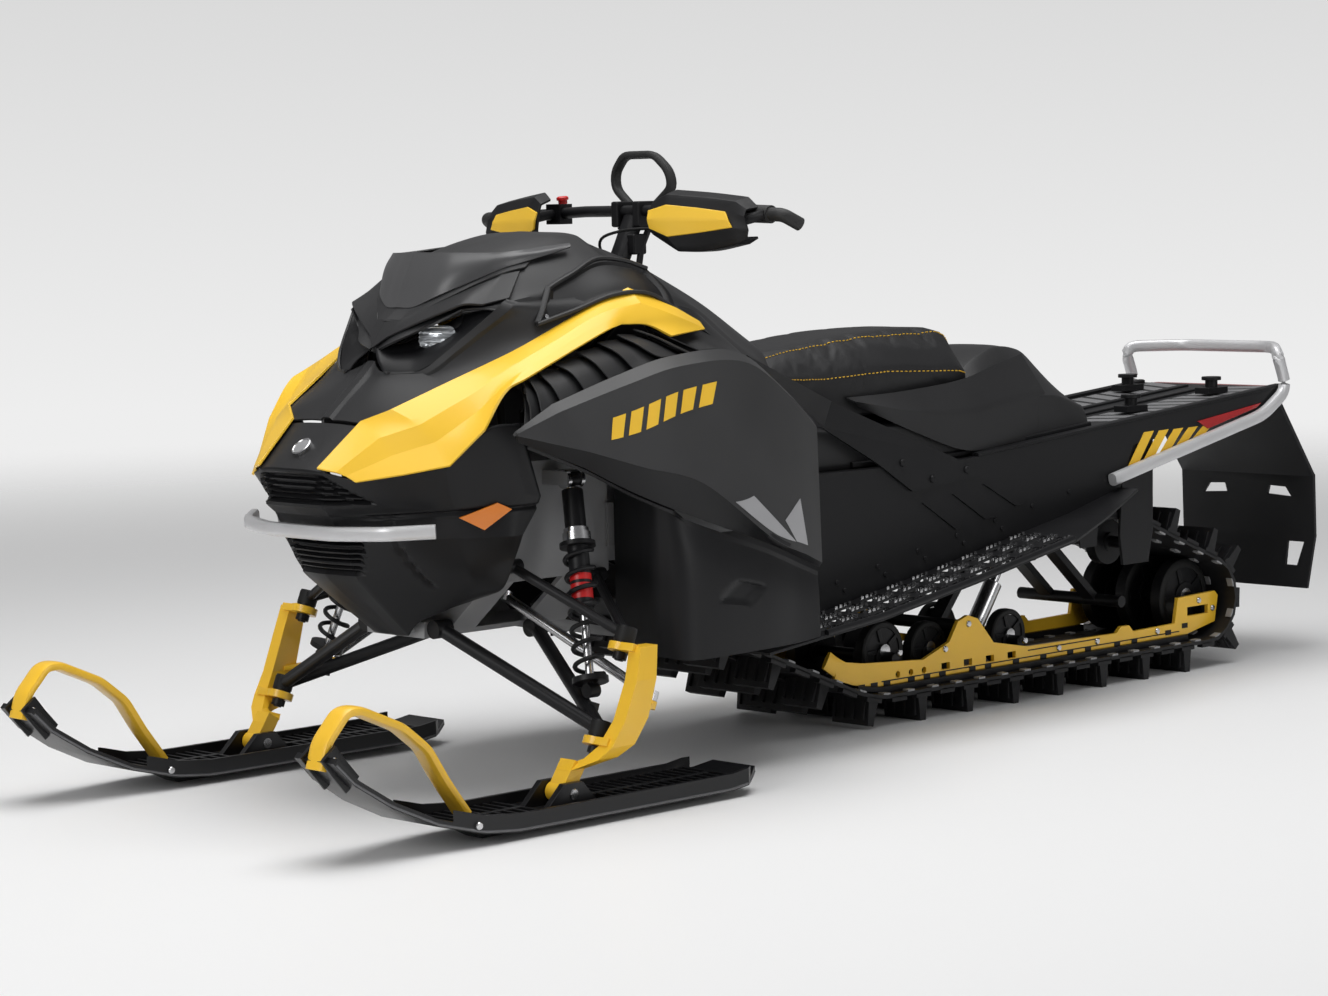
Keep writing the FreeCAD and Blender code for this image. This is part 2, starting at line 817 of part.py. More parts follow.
board_left = new_body("running_board_left")
board_line = [(-600, 218), (-921, 252), (-1206, 299), (-1678, 385), (-1853, 427)]
board_lift = size("board_thickness")
board_outline = board_line + [(x, z + board_lift) for x, z in reversed(board_line)]
pad(board_left, sketch(board_left, "XZ_Plane", [board_outline], "-sizes.board_outer_y"),
    "sizes.board_outer_y - sizes.tunnel_half_width")
taper = sketch(board_left, "XY_Plane", [[(-1500, 372), (-1900, 240), (-1900, 420), (-1500, 420)]])
pocket(board_left, taper, "2000", True)
for row_y in (225, 270, 315):
    for column in range(10):
        hole_x = -780 - column * 76
        hole = sketch(board_left, "XY_Plane", [[(hole_x, row_y), (hole_x - 50, row_y),
                                                (hole_x - 50, row_y + 26), (hole_x, row_y + 26)]])
        pocket(board_left, hole, "2000", True)
mirrored("running_board_right", board_left)

# Skis

pin_z = size("ski_bolt_height")
deck = size("ski_deck_thickness")
keel = size("ski_keel_depth")


def ski_line():
    """Middle line of the ski's underside: flat, then swept up to the tip."""
    return [(-433, 34), (-400, 22), (-340, keel), (170, keel), (250, keel + 8), (340, 46), (430, 88),
            (500, 134), (540, 176)]


def thick_line(line, thickness):
    """A closed outline: a line and the same line raised square to itself."""
    upper = []
    for at, (x, z) in enumerate(line):
        x_a, z_a = line[max(at - 1, 0)]
        x_b, z_b = line[min(at + 1, len(line) - 1)]
        run = math.hypot(x_b - x_a, z_b - z_a)
        upper.append((x - (z_b - z_a) / run * thickness, z + (x_b - x_a) / run * thickness))
    return line + upper[::-1]


def side_slab(outline, y_low, y_high):
    corners = [Vector(x, y_low, z) for x, z in outline]
    face = Part.Face(Part.makePolygon(corners + corners[:1]))
    return face.extrude(Vector(0, y_high - y_low, 0))


def make_ski():
    half = size("ski_width") / 2
    centre = size("ski_stance") / 2
    shape = side_slab(thick_line(ski_line(), deck), centre - half, centre + half)
    lip = thick_line(ski_line(), deck + size("ski_lip_height"))
    for y in (centre - half, centre + half - size("ski_lip_width")):
        shape = shape.fuse(side_slab(lip, y, y + size("ski_lip_width")))
    plan = [(-433, 52), (-380, half), (230, half), (430, 66), (560, 50)]
    corners = [Vector(x, centre + y, -20) for x, y in plan]
    corners += [Vector(x, centre - y, -20) for x, y in reversed(plan)]
    shape = shape.common(Part.Face(Part.makePolygon(corners + corners[:1])).extrude(Vector(0, 0, 400)))
    blade = [(-350, keel + 2), (-330, 0), (200, 0), (245, keel + 9)]
    shape = shape.fuse(side_slab(blade, centre - size("ski_keel_width") / 2, centre + size("ski_keel_width") / 2))
    gap = size("ski_ear_gap") / 2
    ear = [(-62, keel + deck - 2), (-22, pin_z + 20), (22, pin_z + 20), (70, keel + deck - 2)]
    for y in (centre - gap - size("ski_ear_thickness"), centre + gap):
        shape = shape.fuse(side_slab(ear, y, y + size("ski_ear_thickness")))
    bolt = Part.makeCylinder(size("ski_bolt_radius"), 2 * gap + 2 * size("ski_ear_thickness"),
                             Vector(0, centre - gap - size("ski_ear_thickness"), pin_z), Vector(0, 1, 0))
    return shape.fuse(bolt)


ski_left = free_form("ski_left", make_ski())
mirrored("ski_right", ski_left)


def make_ski_loop():
    """The handle loop: a bent bar from the ski's tip up, back and down to the deck."""
    centre = size("ski_stance") / 2
    points = [(528, 196), (500, 250), (463, 262), (400, 252), (345, 205), (300, 130), (262, 45.2)]
    wires = []
    for at, (x, z) in enumerate(points):
        x_a, z_a = points[max(at - 1, 0)]
        x_b, z_b = points[min(at + 1, len(points) - 1)]
        wires.append(section(Vector(x, centre, z), Vector(x_b - x_a, 0, z_b - z_a),
                             size("ski_loop_width") * 2, size("ski_loop_depth")))
    return Part.makeLoft(wires, True, True)


loop_left = free_form("ski_loop_left", make_ski_loop())
mirrored("ski_loop_right", loop_left)

# Spindles, arms, shocks and tie rods


def kingpin(share):
    """A point of the king pin's axis, from the lower ball at 0 to the upper ball at 1."""
    low = Vector(size("kingpin_low_x"), size("kingpin_y"), size("kingpin_low_z"))
    top = Vector(size("kingpin_top_x"), size("kingpin_y"), size("kingpin_top_z"))
    return low + (top - low) * share


pin_axis = kingpin(1) - kingpin(0)
pin_axis.normalize()


def ball_end(centre):
    """The arm's outer joint: a round housing with its stud and nut along the king pin's axis."""
    half = size("ball_height") / 2
    shape = Part.makeCylinder(size("ball_radius"), 2 * half, centre - pin_axis * half, pin_axis)
    drop = half + size("flange_gap") + size("flange_thickness") + 16
    shape = shape.fuse(Part.makeCylinder(size("stud_radius"), drop, centre - pin_axis * drop, pin_axis))
    nut_top = half + size("flange_gap") + size("flange_thickness") + 1.5
    nut = Part.makeCylinder(13, 12, centre - pin_axis * (nut_top + 12), pin_axis)
    return shape.fuse(nut)


def arm_pair(front, rear, outer, radius):
    arm = ball_end(outer).fuse(rod(front, outer, radius)).fuse(rod(rear, outer, radius))
    for pivot in (front, rear):
        arm = arm.fuse(Part.makeCylinder(radius + 4, 36, pivot - Vector(18, 0, 0), Vector(1, 0, 0)))
    return arm


def both(shape):
    return Part.Compound([shape, shape.mirror(Vector(0, 0, 0), Vector(0, 1, 0))])


lower_arm = arm_pair(Vector(-22, 100, 309), Vector(-250, 104, 289), kingpin(0), size("arm_tube_radius"))
shock_low = Vector(-130, 385, 209)
shock_high = Vector(-205, 262, 577)
lug = box_beam(Vector(-122, 385, 172), Vector(-128, 385, 189), 20, 26)
lower_arm = lower_arm.fuse(lug)
free_form("lower_arms", both(lower_arm))
upper_arm = arm_pair(Vector(-95, 218.4, 424), Vector(-300, 218.4, 390), kingpin(1), size("upper_tube_radius"))
free_form("upper_arms", both(upper_arm))


def make_shock():
    eye = size("shock_eye_radius")
    line = (shock_high - shock_low).normalize()
    shape = Part.makeCylinder(eye, 24, shock_low - Vector(12, 0, 0), Vector(1, 0, 0))
    shape = shape.fuse(Part.makeCylinder(eye, 24, shock_high - Vector(12, 0, 0), Vector(1, 0, 0)))
    shape = shape.fuse(rod(shock_low, shock_high, size("shock_rod_radius")))
    body_low = shock_low + line * 150
    shape = shape.fuse(rod(body_low, shock_high - line * 22, size("shock_radius")))
    shape = shape.fuse(rod(shock_low + line * 14, shock_low + line * 24, size("spring_radius") + 3))
    shape = shape.fuse(rod(shock_low + line * 266, shock_low + line * 274, size("spring_radius") + 3))
    return shape


free_form("front_shocks", both(make_shock()))


def coil(start, end, radius, wire, turns, sides=6, steps=10):
    """A coil spring as one closed skin of flat facets, wound from start to end."""
    axis = (end - start).normalize()
    level, upright = frame_at(axis)
    rise = (end - start).Length
    rings = []
    count = int(turns * steps)
    for at in range(count + 1):
        angle = 2 * math.pi * at / steps
        out = level * math.cos(angle) + upright * math.sin(angle)
        centre = start + axis * (rise * at / count) + out * radius
        ring = []
        for side in range(sides):
            roll = 2 * math.pi * side / sides
            ring.append(centre + out * (wire * math.cos(roll)) + axis * (wire * math.sin(roll)))
        rings.append(ring)
    triangles = []
    for ring, following in zip(rings, rings[1:]):
        for side in range(sides):
            beside = (side + 1) % sides
            triangles.append((ring[side], ring[beside], following[beside]))
            triangles.append((ring[side], following[beside], following[side]))
    for side in range(1, sides - 1):
        triangles.append((rings[0][0], rings[0][side + 1], rings[0][side]))
        triangles.append((rings[-1][0], rings[-1][side], rings[-1][side + 1]))
    return polyhedron(triangles)


spring_line = (shock_high - shock_low).normalize()
spring = coil(shock_low + spring_line * (24.3 + size("spring_wire")),
              shock_low + spring_line * (265.7 - size("spring_wire")),
              size("spring_radius") - size("spring_wire"), size("spring_wire"), size("spring_turns"))
free_form("front_springs", both(spring))


def make_spindle():
    """A forged leg outboard of the king pin, with two flanges, a steering arm and the ski foot."""
    drop = size("ball_height") / 2 + size("flange_gap") + size("flange_thickness")
    flanges = []
    for share in (0, 1):
        base = kingpin(share) - pin_axis * drop
        flanges.append(Part.makeCylinder(size("flange_radius"), size("flange_thickness"), base, pin_axis))
    low_base, top_base = kingpin(0) - pin_axis * (drop - 7), kingpin(1) - pin_axis * (drop - 7)
    centre = size("ski_stance") / 2
    width, depth = size("spindle_width"), size("spindle_depth")
    wires = []
    for x, y, z, wide, deep in (
        (-150, 502, 298, width, depth - 8), (-136, 508, 240, width, depth), (-112, 506, 172, width, depth + 8),
        (-84, 498, 128, width + 4, depth + 8), (-60, 482, 107, width + 6, depth),
        (-26, centre, 88, width + 8, depth - 12),
    ):
        corners = [Vector(x - deep / 2, y - wide / 2, z), Vector(x + deep / 2, y - wide / 2, z),
                   Vector(x + deep / 2, y + wide / 2, z), Vector(x - deep / 2, y + wide / 2, z)]
        wires.append(Part.makePolygon(corners + corners[:1]))
    shape = Part.makeLoft(wires, True, True)
    for flange, base in zip(flanges, (low_base, top_base)):
        shape = shape.fuse(flange)
        across = Vector(pin_axis.z, 0, -pin_axis.x) * 20
        rise = pin_axis * (size("flange_thickness") / 2)
        corners = [base - across - rise, base + across - rise, base + across + rise, base - across + rise]
        web = Part.Face(Part.makePolygon(corners + corners[:1])).extrude(Vector(0, 48, 0))
        shape = shape.fuse(web)
    foot_half = size("ski_ear_gap") / 2 - size("foot_gap")
    foot = Part.makeCylinder(size("foot_radius"), 2 * foot_half, Vector(0, centre - foot_half, pin_z), Vector(0, 1, 0))
    shape = shape.fuse(foot)
    shape = shape.fuse(box_beam(Vector(-32, centre, 98), Vector(0, centre, pin_z), 2 * foot_half - 4, 28))
    ball = Vector(size("tie_outer_x"), size("tie_outer_y"), size("tie_outer_z"))
    arm_top = ball - pin_axis * (size("tie_end_height") / 2 + 0.8)
    pad_foot = arm_top - pin_axis * size("steering_arm_thickness")
    shape = shape.fuse(box_beam(Vector(-118, 500, 176), (arm_top + pad_foot) * 0.5, 28, 8))
    shape = shape.fuse(Part.makeCylinder(16, size("steering_arm_thickness"), pad_foot, pin_axis))
    for share in (0, 1):
        base = kingpin(share) - pin_axis * (drop + 20)
        bore = Part.makeCylinder(size("stud_radius") + size("stud_clearance"), 60, base, pin_axis)
        shape = shape.cut(bore)
        shape = shape.cut(Part.makeCylinder(16, 30, kingpin(share) - pin_axis * (drop + 30), pin_axis))
    hole = Part.makeCylinder(size("ski_bolt_radius") + 0.4, 100, Vector(0, centre - 50, pin_z), Vector(0, 1, 0))
    return shape.cut(hole)


spindle_left = free_form("spindle_left", make_spindle())
mirrored("spindle_right", spindle_left)


def make_tie_rod():
    outer = Vector(size("tie_outer_x"), size("tie_outer_y"), size("tie_outer_z"))
    inner = Vector(size("tie_inner_x"), size("tie_inner_y"), size("tie_inner_z"))
    shape = rod(inner, outer, size("tie_rod_radius"))
    half = size("tie_end_height") / 2
    for end in (outer, inner):
        shape = shape.fuse(Part.makeCylinder(size("tie_end_radius"), 2 * half, end - pin_axis * half, pin_axis))
    return shape


tie_left = free_form("tie_rod_left", make_tie_rod())
mirrored("tie_rod_right", tie_left)

# Bulkhead and engine


def make_bulkhead():
    """The front frame: a folded tub, open at the top, with windows for the tie rods and a nose beam."""
    outline = [(-80, 292), (80, 292), (205, 395), (205, 610), (-205, 610), (-205, 395)]
    inside = [(-77, 300), (77, 300), (197, 399), (197, 620), (-197, 620), (-197, 399)]
    shells = []
    for loop, start, length in ((outline, -345, 300), (inside, -355, 301)):
        corners = [Vector(start, y, z) for y, z in loop]
        shells.append(Part.Face(Part.makePolygon(corners + corners[:1])).extrude(Vector(length, 0, 0)))
    shape = shells[0].cut(shells[1])
    shape = shape.cut(Part.makeBox(120, 500, 90, Vector(-232, -250, 303)))
    shape = shape.cut(Part.makeBox(60, 260, 130, Vector(-80, -130, 430)))
    shape = shape.fuse(Part.makeBox(60, 165.2, 30, Vector(-58, -82.6, 292)))
    shape = both_added(shape, Part.makeBox(360, 5.7, 80, Vector(-700, 205.3, 440)))
    shape = both_added(shape, Part.makeBox(10, 5.7, 80, Vector(-352, 202, 440)))
    for x in (shock_high.x - 20.3, shock_high.x + 12.3):
        shape = both_added(shape, Part.makeBox(8, 72, 26, Vector(x, 202, 566)))
    return shape


def both_added(shape, piece):
    """A shape with a piece and the piece's mirror image fused on."""
    return shape.fuse(piece).fuse(piece.mirror(Vector(0, 0, 0), Vector(0, 1, 0)))


def kept_part(shape, cutter, inside):
    """What is left of a shape before a skin: the solid nearest to a point."""
    solids = shape.cut(cutter).Solids
    return min(solids, key=lambda solid: (solid.CenterOfMass - inside).Length)




def make_engine():
    """The engine as one plain block on its mounting plate."""
    plate = Part.makeBox(110, 2 * 196.6, 16, Vector(-335, -196.6, 440))
    return Part.makeBox(265, 290, 248, Vector(-465, -145, 402)).fuse(plate)


free_form("engine_block", make_engine())

# Bodywork, in skins that share their edges

HOOD_GRID = [
    [None, "spine_foot", "spine_low", "spine_high", "spine_head"],
    [None, "foot_half", "low_half", "high_half", "lamp_inner"],
]
HOOD_OUTER = [
    ["foot_half", "low_half", "high_half", "lamp_inner"],
    ["corner", "border_a", "border_b", "lamp_low"],
]
CHEEK = [
    ["lamp_low", "lamp_outer", "lamp_rear", "lamp_top"],
    ["border_b", "border_c", "border_d", "border_e"],
]
NOSE = [
    ["nose_mid", "spine_foot"],
    ["nose_half", "foot_half"],
    ["nose_edge", "corner"],
]
PANEL = [
    ["nose_edge", "corner", "border_a", "border_b", "border_c", "border_d", "border_e", "border_peak",
     "border_fall", "border_end"],
    ["crease_tip", "crease_a", "crease_b", "crease_c", "crease_d", "crease_e", "crease_f", "crease_g",
     "crease_h", "crease_end"],
    ["tip_low", "hem_a", "hem_b", "hem_c", "hem_d", "hem_e", "hem_f", "hem_g", "hem_h", "hem_end"],
]
COWL = [
    ["brow_mid", "cowl_a", "cowl_b", "cowl_c", "cowl_d", "cowl_e", "cowl_f", "cowl_g", "cowl_h"],
    ["brow_inner", "slope_a", "slope_b", "slope_c", "slope_d", "slope_e", "slope_f", "slope_g", "slope_h"],
    ["brow_b", "lamp_top", "lamp_top", "border_e", "border_peak", "border_fall", "cowl_side_f", "cowl_side_g",
     "cowl_side_h"],
]
FASCIA = [
    ["nose_mid", "nose_half", "nose_edge", "tip_low", "hem_a", "hem_b", "hem_c"],
    ["nose_mid", "nose_half", "nose_edge", "tip_low", "hem_a", "hem_b", "hem_fascia"],
    ["shelf_mid", "shelf_half", "shelf_edge", "shelf_turn", "shelf_flank", "shelf_side", "shelf_rear"],
    ["chin_mid", "chin_half", "chin_edge", "chin_turn", "chin_flank", "chin_side", "chin_rear"],
    ["jaw_mid", "jaw_half", "jaw_edge", "jaw_turn", "jaw_flank", "jaw_side", "jaw_rear"],
    ["keel_mid", "keel_half", "keel_edge", "keel_turn", "keel_flank", "keel_side", "keel_rear"],
    ["sump_mid", "sump_half", "sump_edge", "sump_turn", "sump_flank", "sump_side", "sump_rear"],
]
BRIDGE = [
    ["brow_mid", "brow_inner"],
    ["spine_head", "lamp_inner"],
]
LAMP = [
    ["brow_inner", "brow_a", "brow_b", "lamp_top"],
    ["lamp_inner", "lamp_low", "lamp_outer", "lamp_rear"],
]
VENT = [
    ["hem_c", "hem_d", "hem_e", "hem_f", "hem_g", "hem_h", "hem_end"],
    ["hem_fascia", "vent_a", "vent_b", "vent_c", "vent_d", "vent_e", "vent_f"],
]
SHIELD = [
    ["rim_mid", "rim_half", "rim_end"],
    ["glass_mid", "glass_half", "glass_end"],
    ["foot_mid", "foot_side", "foot_end"],
]
SIDE = [
    ["side_top_a", "side_top_b", "side_top_c", "side_top_d", "side_top_e", "side_top_f", "side_top_g"],
    ["side_mid_a", "side_mid_b", "side_mid_c", "side_mid_d", "side_mid_e", "side_mid_f", "side_mid_g"],
    ["side_low_a", "side_low_b", "side_low_c", "side_low_d", "side_low_e", "side_low_f", "side_low_g"],
    ["side_eave_a", "side_eave_b", "side_eave_c", "side_eave_d", "side_eave_e",
     "side_eave_f", "side_eave_g"],
    ["side_hem_a", "side_hem_b", "side_hem_c", "side_hem_d", "side_hem_e", "side_hem_f", "side_hem_g"],
]


def trios_of(quads):
    return [trio for quad in quads for trio in triangles_of(quad)]


hood_quads = []
for grid in (NOSE, HOOD_GRID, HOOD_OUTER, CHEEK, BRIDGE):
    hood_quads += corners_of(grid)
whole_panels = {
    "hood_center": hood_quads,
    "dash_cowl": corners_of(COWL),
    "nose_fascia": corners_of(FASCIA) + [("nose_edge", "tip_low", "crease_tip", "crease_tip")],
}
half_panels = {
    "colour_panel": corners_of(PANEL),
    "headlamps": corners_of(LAMP),
    "vent_louvres": corners_of(VENT),
}
every_trio = []
for quads in list(whole_panels.values()) + list(half_panels.values()):
    every_trio += trios_of(both_sides(quads))
hood_normals = outward(every_trio)
skins = {}
for label, quads in whole_panels.items():
    skins[label] = skin(trios_of(both_sides(quads)), hood_normals, size("skin_thickness"))
for label, quads in half_panels.items():
    skins[label] = skin(trios_of(quads), hood_normals, size("skin_thickness"))
post_base = Vector(size("steer_base_x"), 0, size("steer_base_z"))
post_line = Vector(-size("steer_lean"), 0, size("steer_rise"))
post_hole = Part.makeCylinder(size("column_radius") + 7, post_line.Length, post_base, post_line)
free_form("dash_cowl", skins["dash_cowl"].cut(post_hole))
beam_end = Vector(-10, 50, 308)
strut = kept_part(rod(beam_end, Vector(60, 50, 308), 8), skins["nose_fascia"], beam_end)
free_form("bulkhead", both_added(make_bulkhead(), strut))


def make_hoop():
    """The frame over the engine: two raked tubes to the column's bearing, two uprights to the cowl."""
    axis = Vector(post_line).normalize()
    corner = Vector(-100, 200, 600)
    shape = Part.makeCylinder(size("column_radius") + 10, size("bearing_length"),
                              post_base - axis * size("bearing_length"), axis)
    shape = both_added(shape, rod(corner, post_base + Vector(6, 14, -22), 9))
    upright = kept_part(rod(corner, Vector(-112, 160, 980), 8), skins["dash_cowl"], corner)
    shape = both_added(shape, upright)
    shape = shape.cut(Part.makeCylinder(size("column_radius") + 0.3, 60, post_base - axis * 50, axis))
    return shape.cut(make_bulkhead())


free_form("steering_hoop", make_hoop())
free_form("hood_center", skins["hood_center"])


def grille_slots(grille):
    """Level slots through the nose, one slat pitch apart, for the upper or the lower grille."""
    half, top = size(grille + "_grille_half"), size(grille + "_grille_top")
    slots = []
    for row in range(int(size(grille + "_grille_slots"))):
        corner = place("chin_turn") - Vector(0, place("chin_turn").y + half, 0)
        corner.z = top - row * size("slat_pitch") - size("slat_gap")
        slots.append(Part.makeBox(place("nose_mid").x - corner.x, 2 * half, size("slat_gap"), corner))
    return slots


free_form("nose_fascia", skins["nose_fascia"].cut(grille_slots("upper") + grille_slots("lower")))
panel_left = free_form("colour_panel_left", skins["colour_panel"])
mirrored("colour_panel_right", panel_left)
free_form("headlamps", both(skins["headlamps"]))


def on_quad(names, across, down):
    """A point of a quad of named places, by its shares across and down."""
    first, second, third, fourth = (place(name) for name in names)
    upper = first + (fourth - first) * across
    lower = second + (third - second) * across
    return upper + (lower - upper) * down


def raised_plate(corners, rises, sunk):
    """A plate over four corners, risen by its own height at each of them and sunk by the same depth."""
    out = (corners[1] - corners[0]).cross(corners[2] - corners[0]).normalize()
    if out.y < 0:
        out = out * -1
        corners, rises = corners[::-1], rises[::-1]
    inner = [corner - out * sunk for corner in corners]
    outer = [corner + out * rise for corner, rise in zip(corners, rises)]
    triangles = [(outer[0], outer[1], outer[2]), (outer[0], outer[2], outer[3]),
                 (inner[2], inner[1], inner[0]), (inner[3], inner[2], inner[0])]
    for at in range(4):
        beside = (at + 1) % 4
        triangles.append((outer[beside], outer[at], inner[at]))
        triangles.append((outer[beside], inner[at], inner[beside]))
    return polyhedron(triangles)


def make_louvres():
    """The vent's skin with a slanted slat over each of its fields, high at the front."""
    shape = skins["vent_louvres"]
    for field in corners_of(VENT):
        corners = [on_quad(field, across, down) for across, down in
                   ((0.1, 0.08), (0.1, 0.92), (0.86, 0.92), (0.86, 0.08))]
        rise = size("louvre_rise")
        shape = shape.fuse(raised_plate(corners, [rise, rise, 1, 1], size("skin_thickness") / 2))
    return both(shape)


free_form("vent_louvres", make_louvres())

shield_trios = trios_of(both_sides(corners_of(SHIELD)))
shield = skin(shield_trios, outward(shield_trios), size("skin_thickness")).cut(skins["dash_cowl"])
free_form("windshield", max(shield.Solids, key=lambda solid: solid.Volume))
side_trios = trios_of(corners_of(SIDE))
side_left = free_form("side_panel_left", skin(side_trios, outward(side_trios), size("side_panel_thickness")))
mirrored("side_panel_right", side_left)


def make_braces():
    """A flat brace on each side of the tunnel, up to the cowl, with the wing that joins it to the side panel."""
    corners = [place("brace_" + name) for name in
               ("low_front", "low_rear", "rear", "head", "tip", "tip_low", "neck", "knee")]
    brace = Part.Face(Part.makePolygon(corners + corners[:1])).extrude(Vector(0, size("brace_thickness"), 0))
    brace = kept_part(brace, skins["dash_cowl"], place("brace_low_front"))
    wing_trios = [("wing_top", "wing_front", "wing_neck"), ("wing_top", "wing_neck", "wing_head"),
                  ("wing_front", "wing_low", "wing_neck")]
    wing = skin(wing_trios, outward(wing_trios), size("skin_thickness"))
    hole = [place("wing_hole_" + letter) - Vector(0, 60, 0) for letter in "abc"]
    wing = wing.cut(Part.Face(Part.makePolygon(hole + hole[:1])).extrude(Vector(0, 120, 0)))
    shape = brace.fuse(wing)
    for neighbour in (side_left.Shape, skins["dash_cowl"]):
        shape = shape.cut(neighbour)
    return both(max(shape.Solids, key=lambda solid: solid.Volume))


free_form("side_braces", make_braces())


def level_frame(x, half_width, z_low, z_high):
    corners = [Vector(x, -half_width, z_low), Vector(x, half_width, z_low),
               Vector(x, half_width, z_high), Vector(x, -half_width, z_high)]
    return Part.makePolygon(corners + corners[:1])


free_form("belly_pan", Part.makeLoft([level_frame(-345, 78, 292, 298), level_frame(-482, 374.5, 243, 249)],
                                     True, True))


def make_reflectors():
    """Side reflectors, flat plates that follow the fascia's flank."""
    names = ("shelf_side", "chin_side", "chin_rear", "shelf_rear")
    corners = [on_quad(names, across, down) for across, down in
               ((0.02, 0.3), (0.5, 0.78), (0.98, 0.3), (0.7, 0.06))]
    plate = raised_plate(corners, [7, 7, 7, 7], 2).cut(skins["nose_fascia"])
    return both(max(plate.Solids, key=lambda solid: solid.Volume))


free_form("side_reflectors", make_reflectors())

rear_reflector = [place(name) for name in ("red_front_top", "red_front_low", "red_rear_low", "red_rear_top")]
free_form("rear_reflectors", both(raised_plate(rear_reflector, [3, 3, 3, 3], 0)))


def make_gauge():
    """The gauge pod, which rises from the cowl and faces the rider."""
    foot, face = place("gauge_foot"), place("gauge_face")
    wires = [section(foot, face - foot, 84, 54), section(face, face - foot, 112, 74)]
    pod = Part.makeLoft(wires, True, True).cut(skins["dash_cowl"])
    return max(pod.Solids, key=lambda solid: solid.Volume)


free_form("dash_gauge", make_gauge())

# Bumpers

front_points = [Vector(96, 290, 512), Vector(216, 84, 502), Vector(216, -84, 502), Vector(96, -290, 512)]
front_tube = bent_tube(front_points, 13, 30)
for side in (-1, 1):
    front_tube = front_tube.fuse(rod(Vector(199, side * 60, 501), Vector(216, side * 60, 502), 8))
free_form("front_bumper", front_tube)

rear_points = [
    Vector(-1810, 218, 452), Vector(-2350, 218, 560), Vector(-2440, 218, 612), Vector(-2400, 218, 704),
    Vector(-2506, 128, 704),
]
rear_points += [Vector(p.x, -p.y, p.z) for p in reversed(rear_points)]
free_form("rear_bumper", bent_tube(rear_points, size("bumper_tube_radius"), 24))

# Rear end

flap = new_body("snow_flap")
flap_outline = [(-2442, 585.8), (-2456, 585.8), (-2588, 404), (-2592, 262), (-2560, 144), (-2552, 144),
                (-2584, 262), (-2580, 402)]
pad(flap, sketch(flap, "XZ_Plane", [flap_outline]), "2 * sizes.flap_half_width", True)
flap_windows = []
for side in (-1, 1):
    flap_windows.append([(side * 58, 356), (side * 126, 352), (side * 110, 374), (side * 64, 376)][::side])
    flap_windows.append([(side * 120, 194), (side * 152, 194), (side * 162, 248), (side * 116, 248)][::side])
flap_cut = sketch(flap, "YZ_Plane", flap_windows)
pocket(flap, flap_cut, "2 * sizes.rear_reach", True)


def make_tail_lamps():
    lamp = Part.makeBox(25.7, 340, 32, Vector(-2466, -170, 586))
    return lamp


free_form("tail_lamp", make_tail_lamps())


def make_anchors():
    """Load anchors bolted along the tunnel top."""
    shapes = []
    for x, z in ((-2000, 585.5), (-2290, 609.0)):
        for y in (-120, 120):
            foot = Part.makeBox(70, 40, 14, Vector(x - 35, y - 20, z))
            head = Part.makeCylinder(14, 22, Vector(x, y, z + 10), Vector(0, 0, 1))
            cap = Part.makeCylinder(22, 8, Vector(x, y, z + 30), Vector(0, 0, 1))
            shapes.append(foot.fuse([head, cap]))
    return Part.Compound(shapes)


free_form("cargo_anchors", make_anchors())

# Seat, rear cowl and tank


def closed_loft(rings):
    return Part.makeLoft([Part.makePolygon(ring + ring[:1]) for ring in rings], True, True)


def cross_rings(stations):
    """Rings across the machine: station, half widths at the foot, belly and top, and their heights."""
    rings = []
    for x, foot, belly, top, z_foot, z_belly, z_top in stations:
        rings.append([Vector(x, -foot, z_foot), Vector(x, foot, z_foot), Vector(x, belly, z_belly),
                      Vector(x, top, z_top), Vector(x, -top, z_top), Vector(x, -belly, z_belly)])
    return rings


def tunnel_top(x):
    """Height just over the tunnel's top sheet."""
    return 530.4 + max(0.0, (-1361 - x) * (618 - 530) / (2440 - 1361))


tank_tops = [(-480, 760), (-700, 780), (-836, 700), (-1000, 630), (-1440, 626)]


def tank_top(x):
    """Height just over the tank, between its stations."""
    for (x_a, z_a), (x_b, z_b) in zip(tank_tops, tank_tops[1:]):
        if x_b <= x <= x_a:
            return z_a + (z_b - z_a) * (x_a - x) / (x_a - x_b) + 0.4
    return z_b


tank_stations = [
    (-480, 180, 190, 120, tunnel_top(-480), 660, 760), (-700, 180, 200, 120, tunnel_top(-700), 650, 780),
    (-836, 176, 180, 90, tunnel_top(-836), 620, 700), (-1000, 172, 174, 110, tunnel_top(-1000), 600, 630),
    (-1361, 170, 172, 110, tunnel_top(-1361), 600, 627), (-1440, 170, 172, 110, tunnel_top(-1440), 600, 626),
]
free_form("fuel_tank", closed_loft(cross_rings(tank_stations)))
seat_stations = [
    (-838, 118, 132, 90, tank_top(-838), 722, 764), (-1000, 140, 150, 104, tank_top(-1000), 712, 780),
    (-1180, 146, 152, 106, tank_top(-1180) + 1, 720, 796), (-1380, 146, 150, 100, tank_top(-1380) + 1, 712, 796),
    (-1440, 140, 146, 96, 640, 700, 760),
]
free_form("seat", closed_loft(cross_rings(seat_stations)))
cowl_stations = [
    (-1445, 168, 172, 96, tunnel_top(-1445), 640, 700), (-1560, 172, 172, 84, tunnel_top(-1560), 640, 748),
    (-1700, 172, 168, 70, tunnel_top(-1700), 630, 726), (-1800, 164, 152, 60, tunnel_top(-1800), 600, 640),
]
free_form("rear_cowl", closed_loft(cross_rings(cowl_stations)))

# Steering


def steer_point(share):
    """A point of the column's line, from its bearing at 0 to its head at 1."""
    return post_base + post_line * share


bar_middle = steer_point(1) + Vector(size("bar_offset"), 0, 0)


def from_bar(forward, left, up):
    """A point given from the middle of the handlebar."""
    return bar_middle + Vector(forward, left, up)


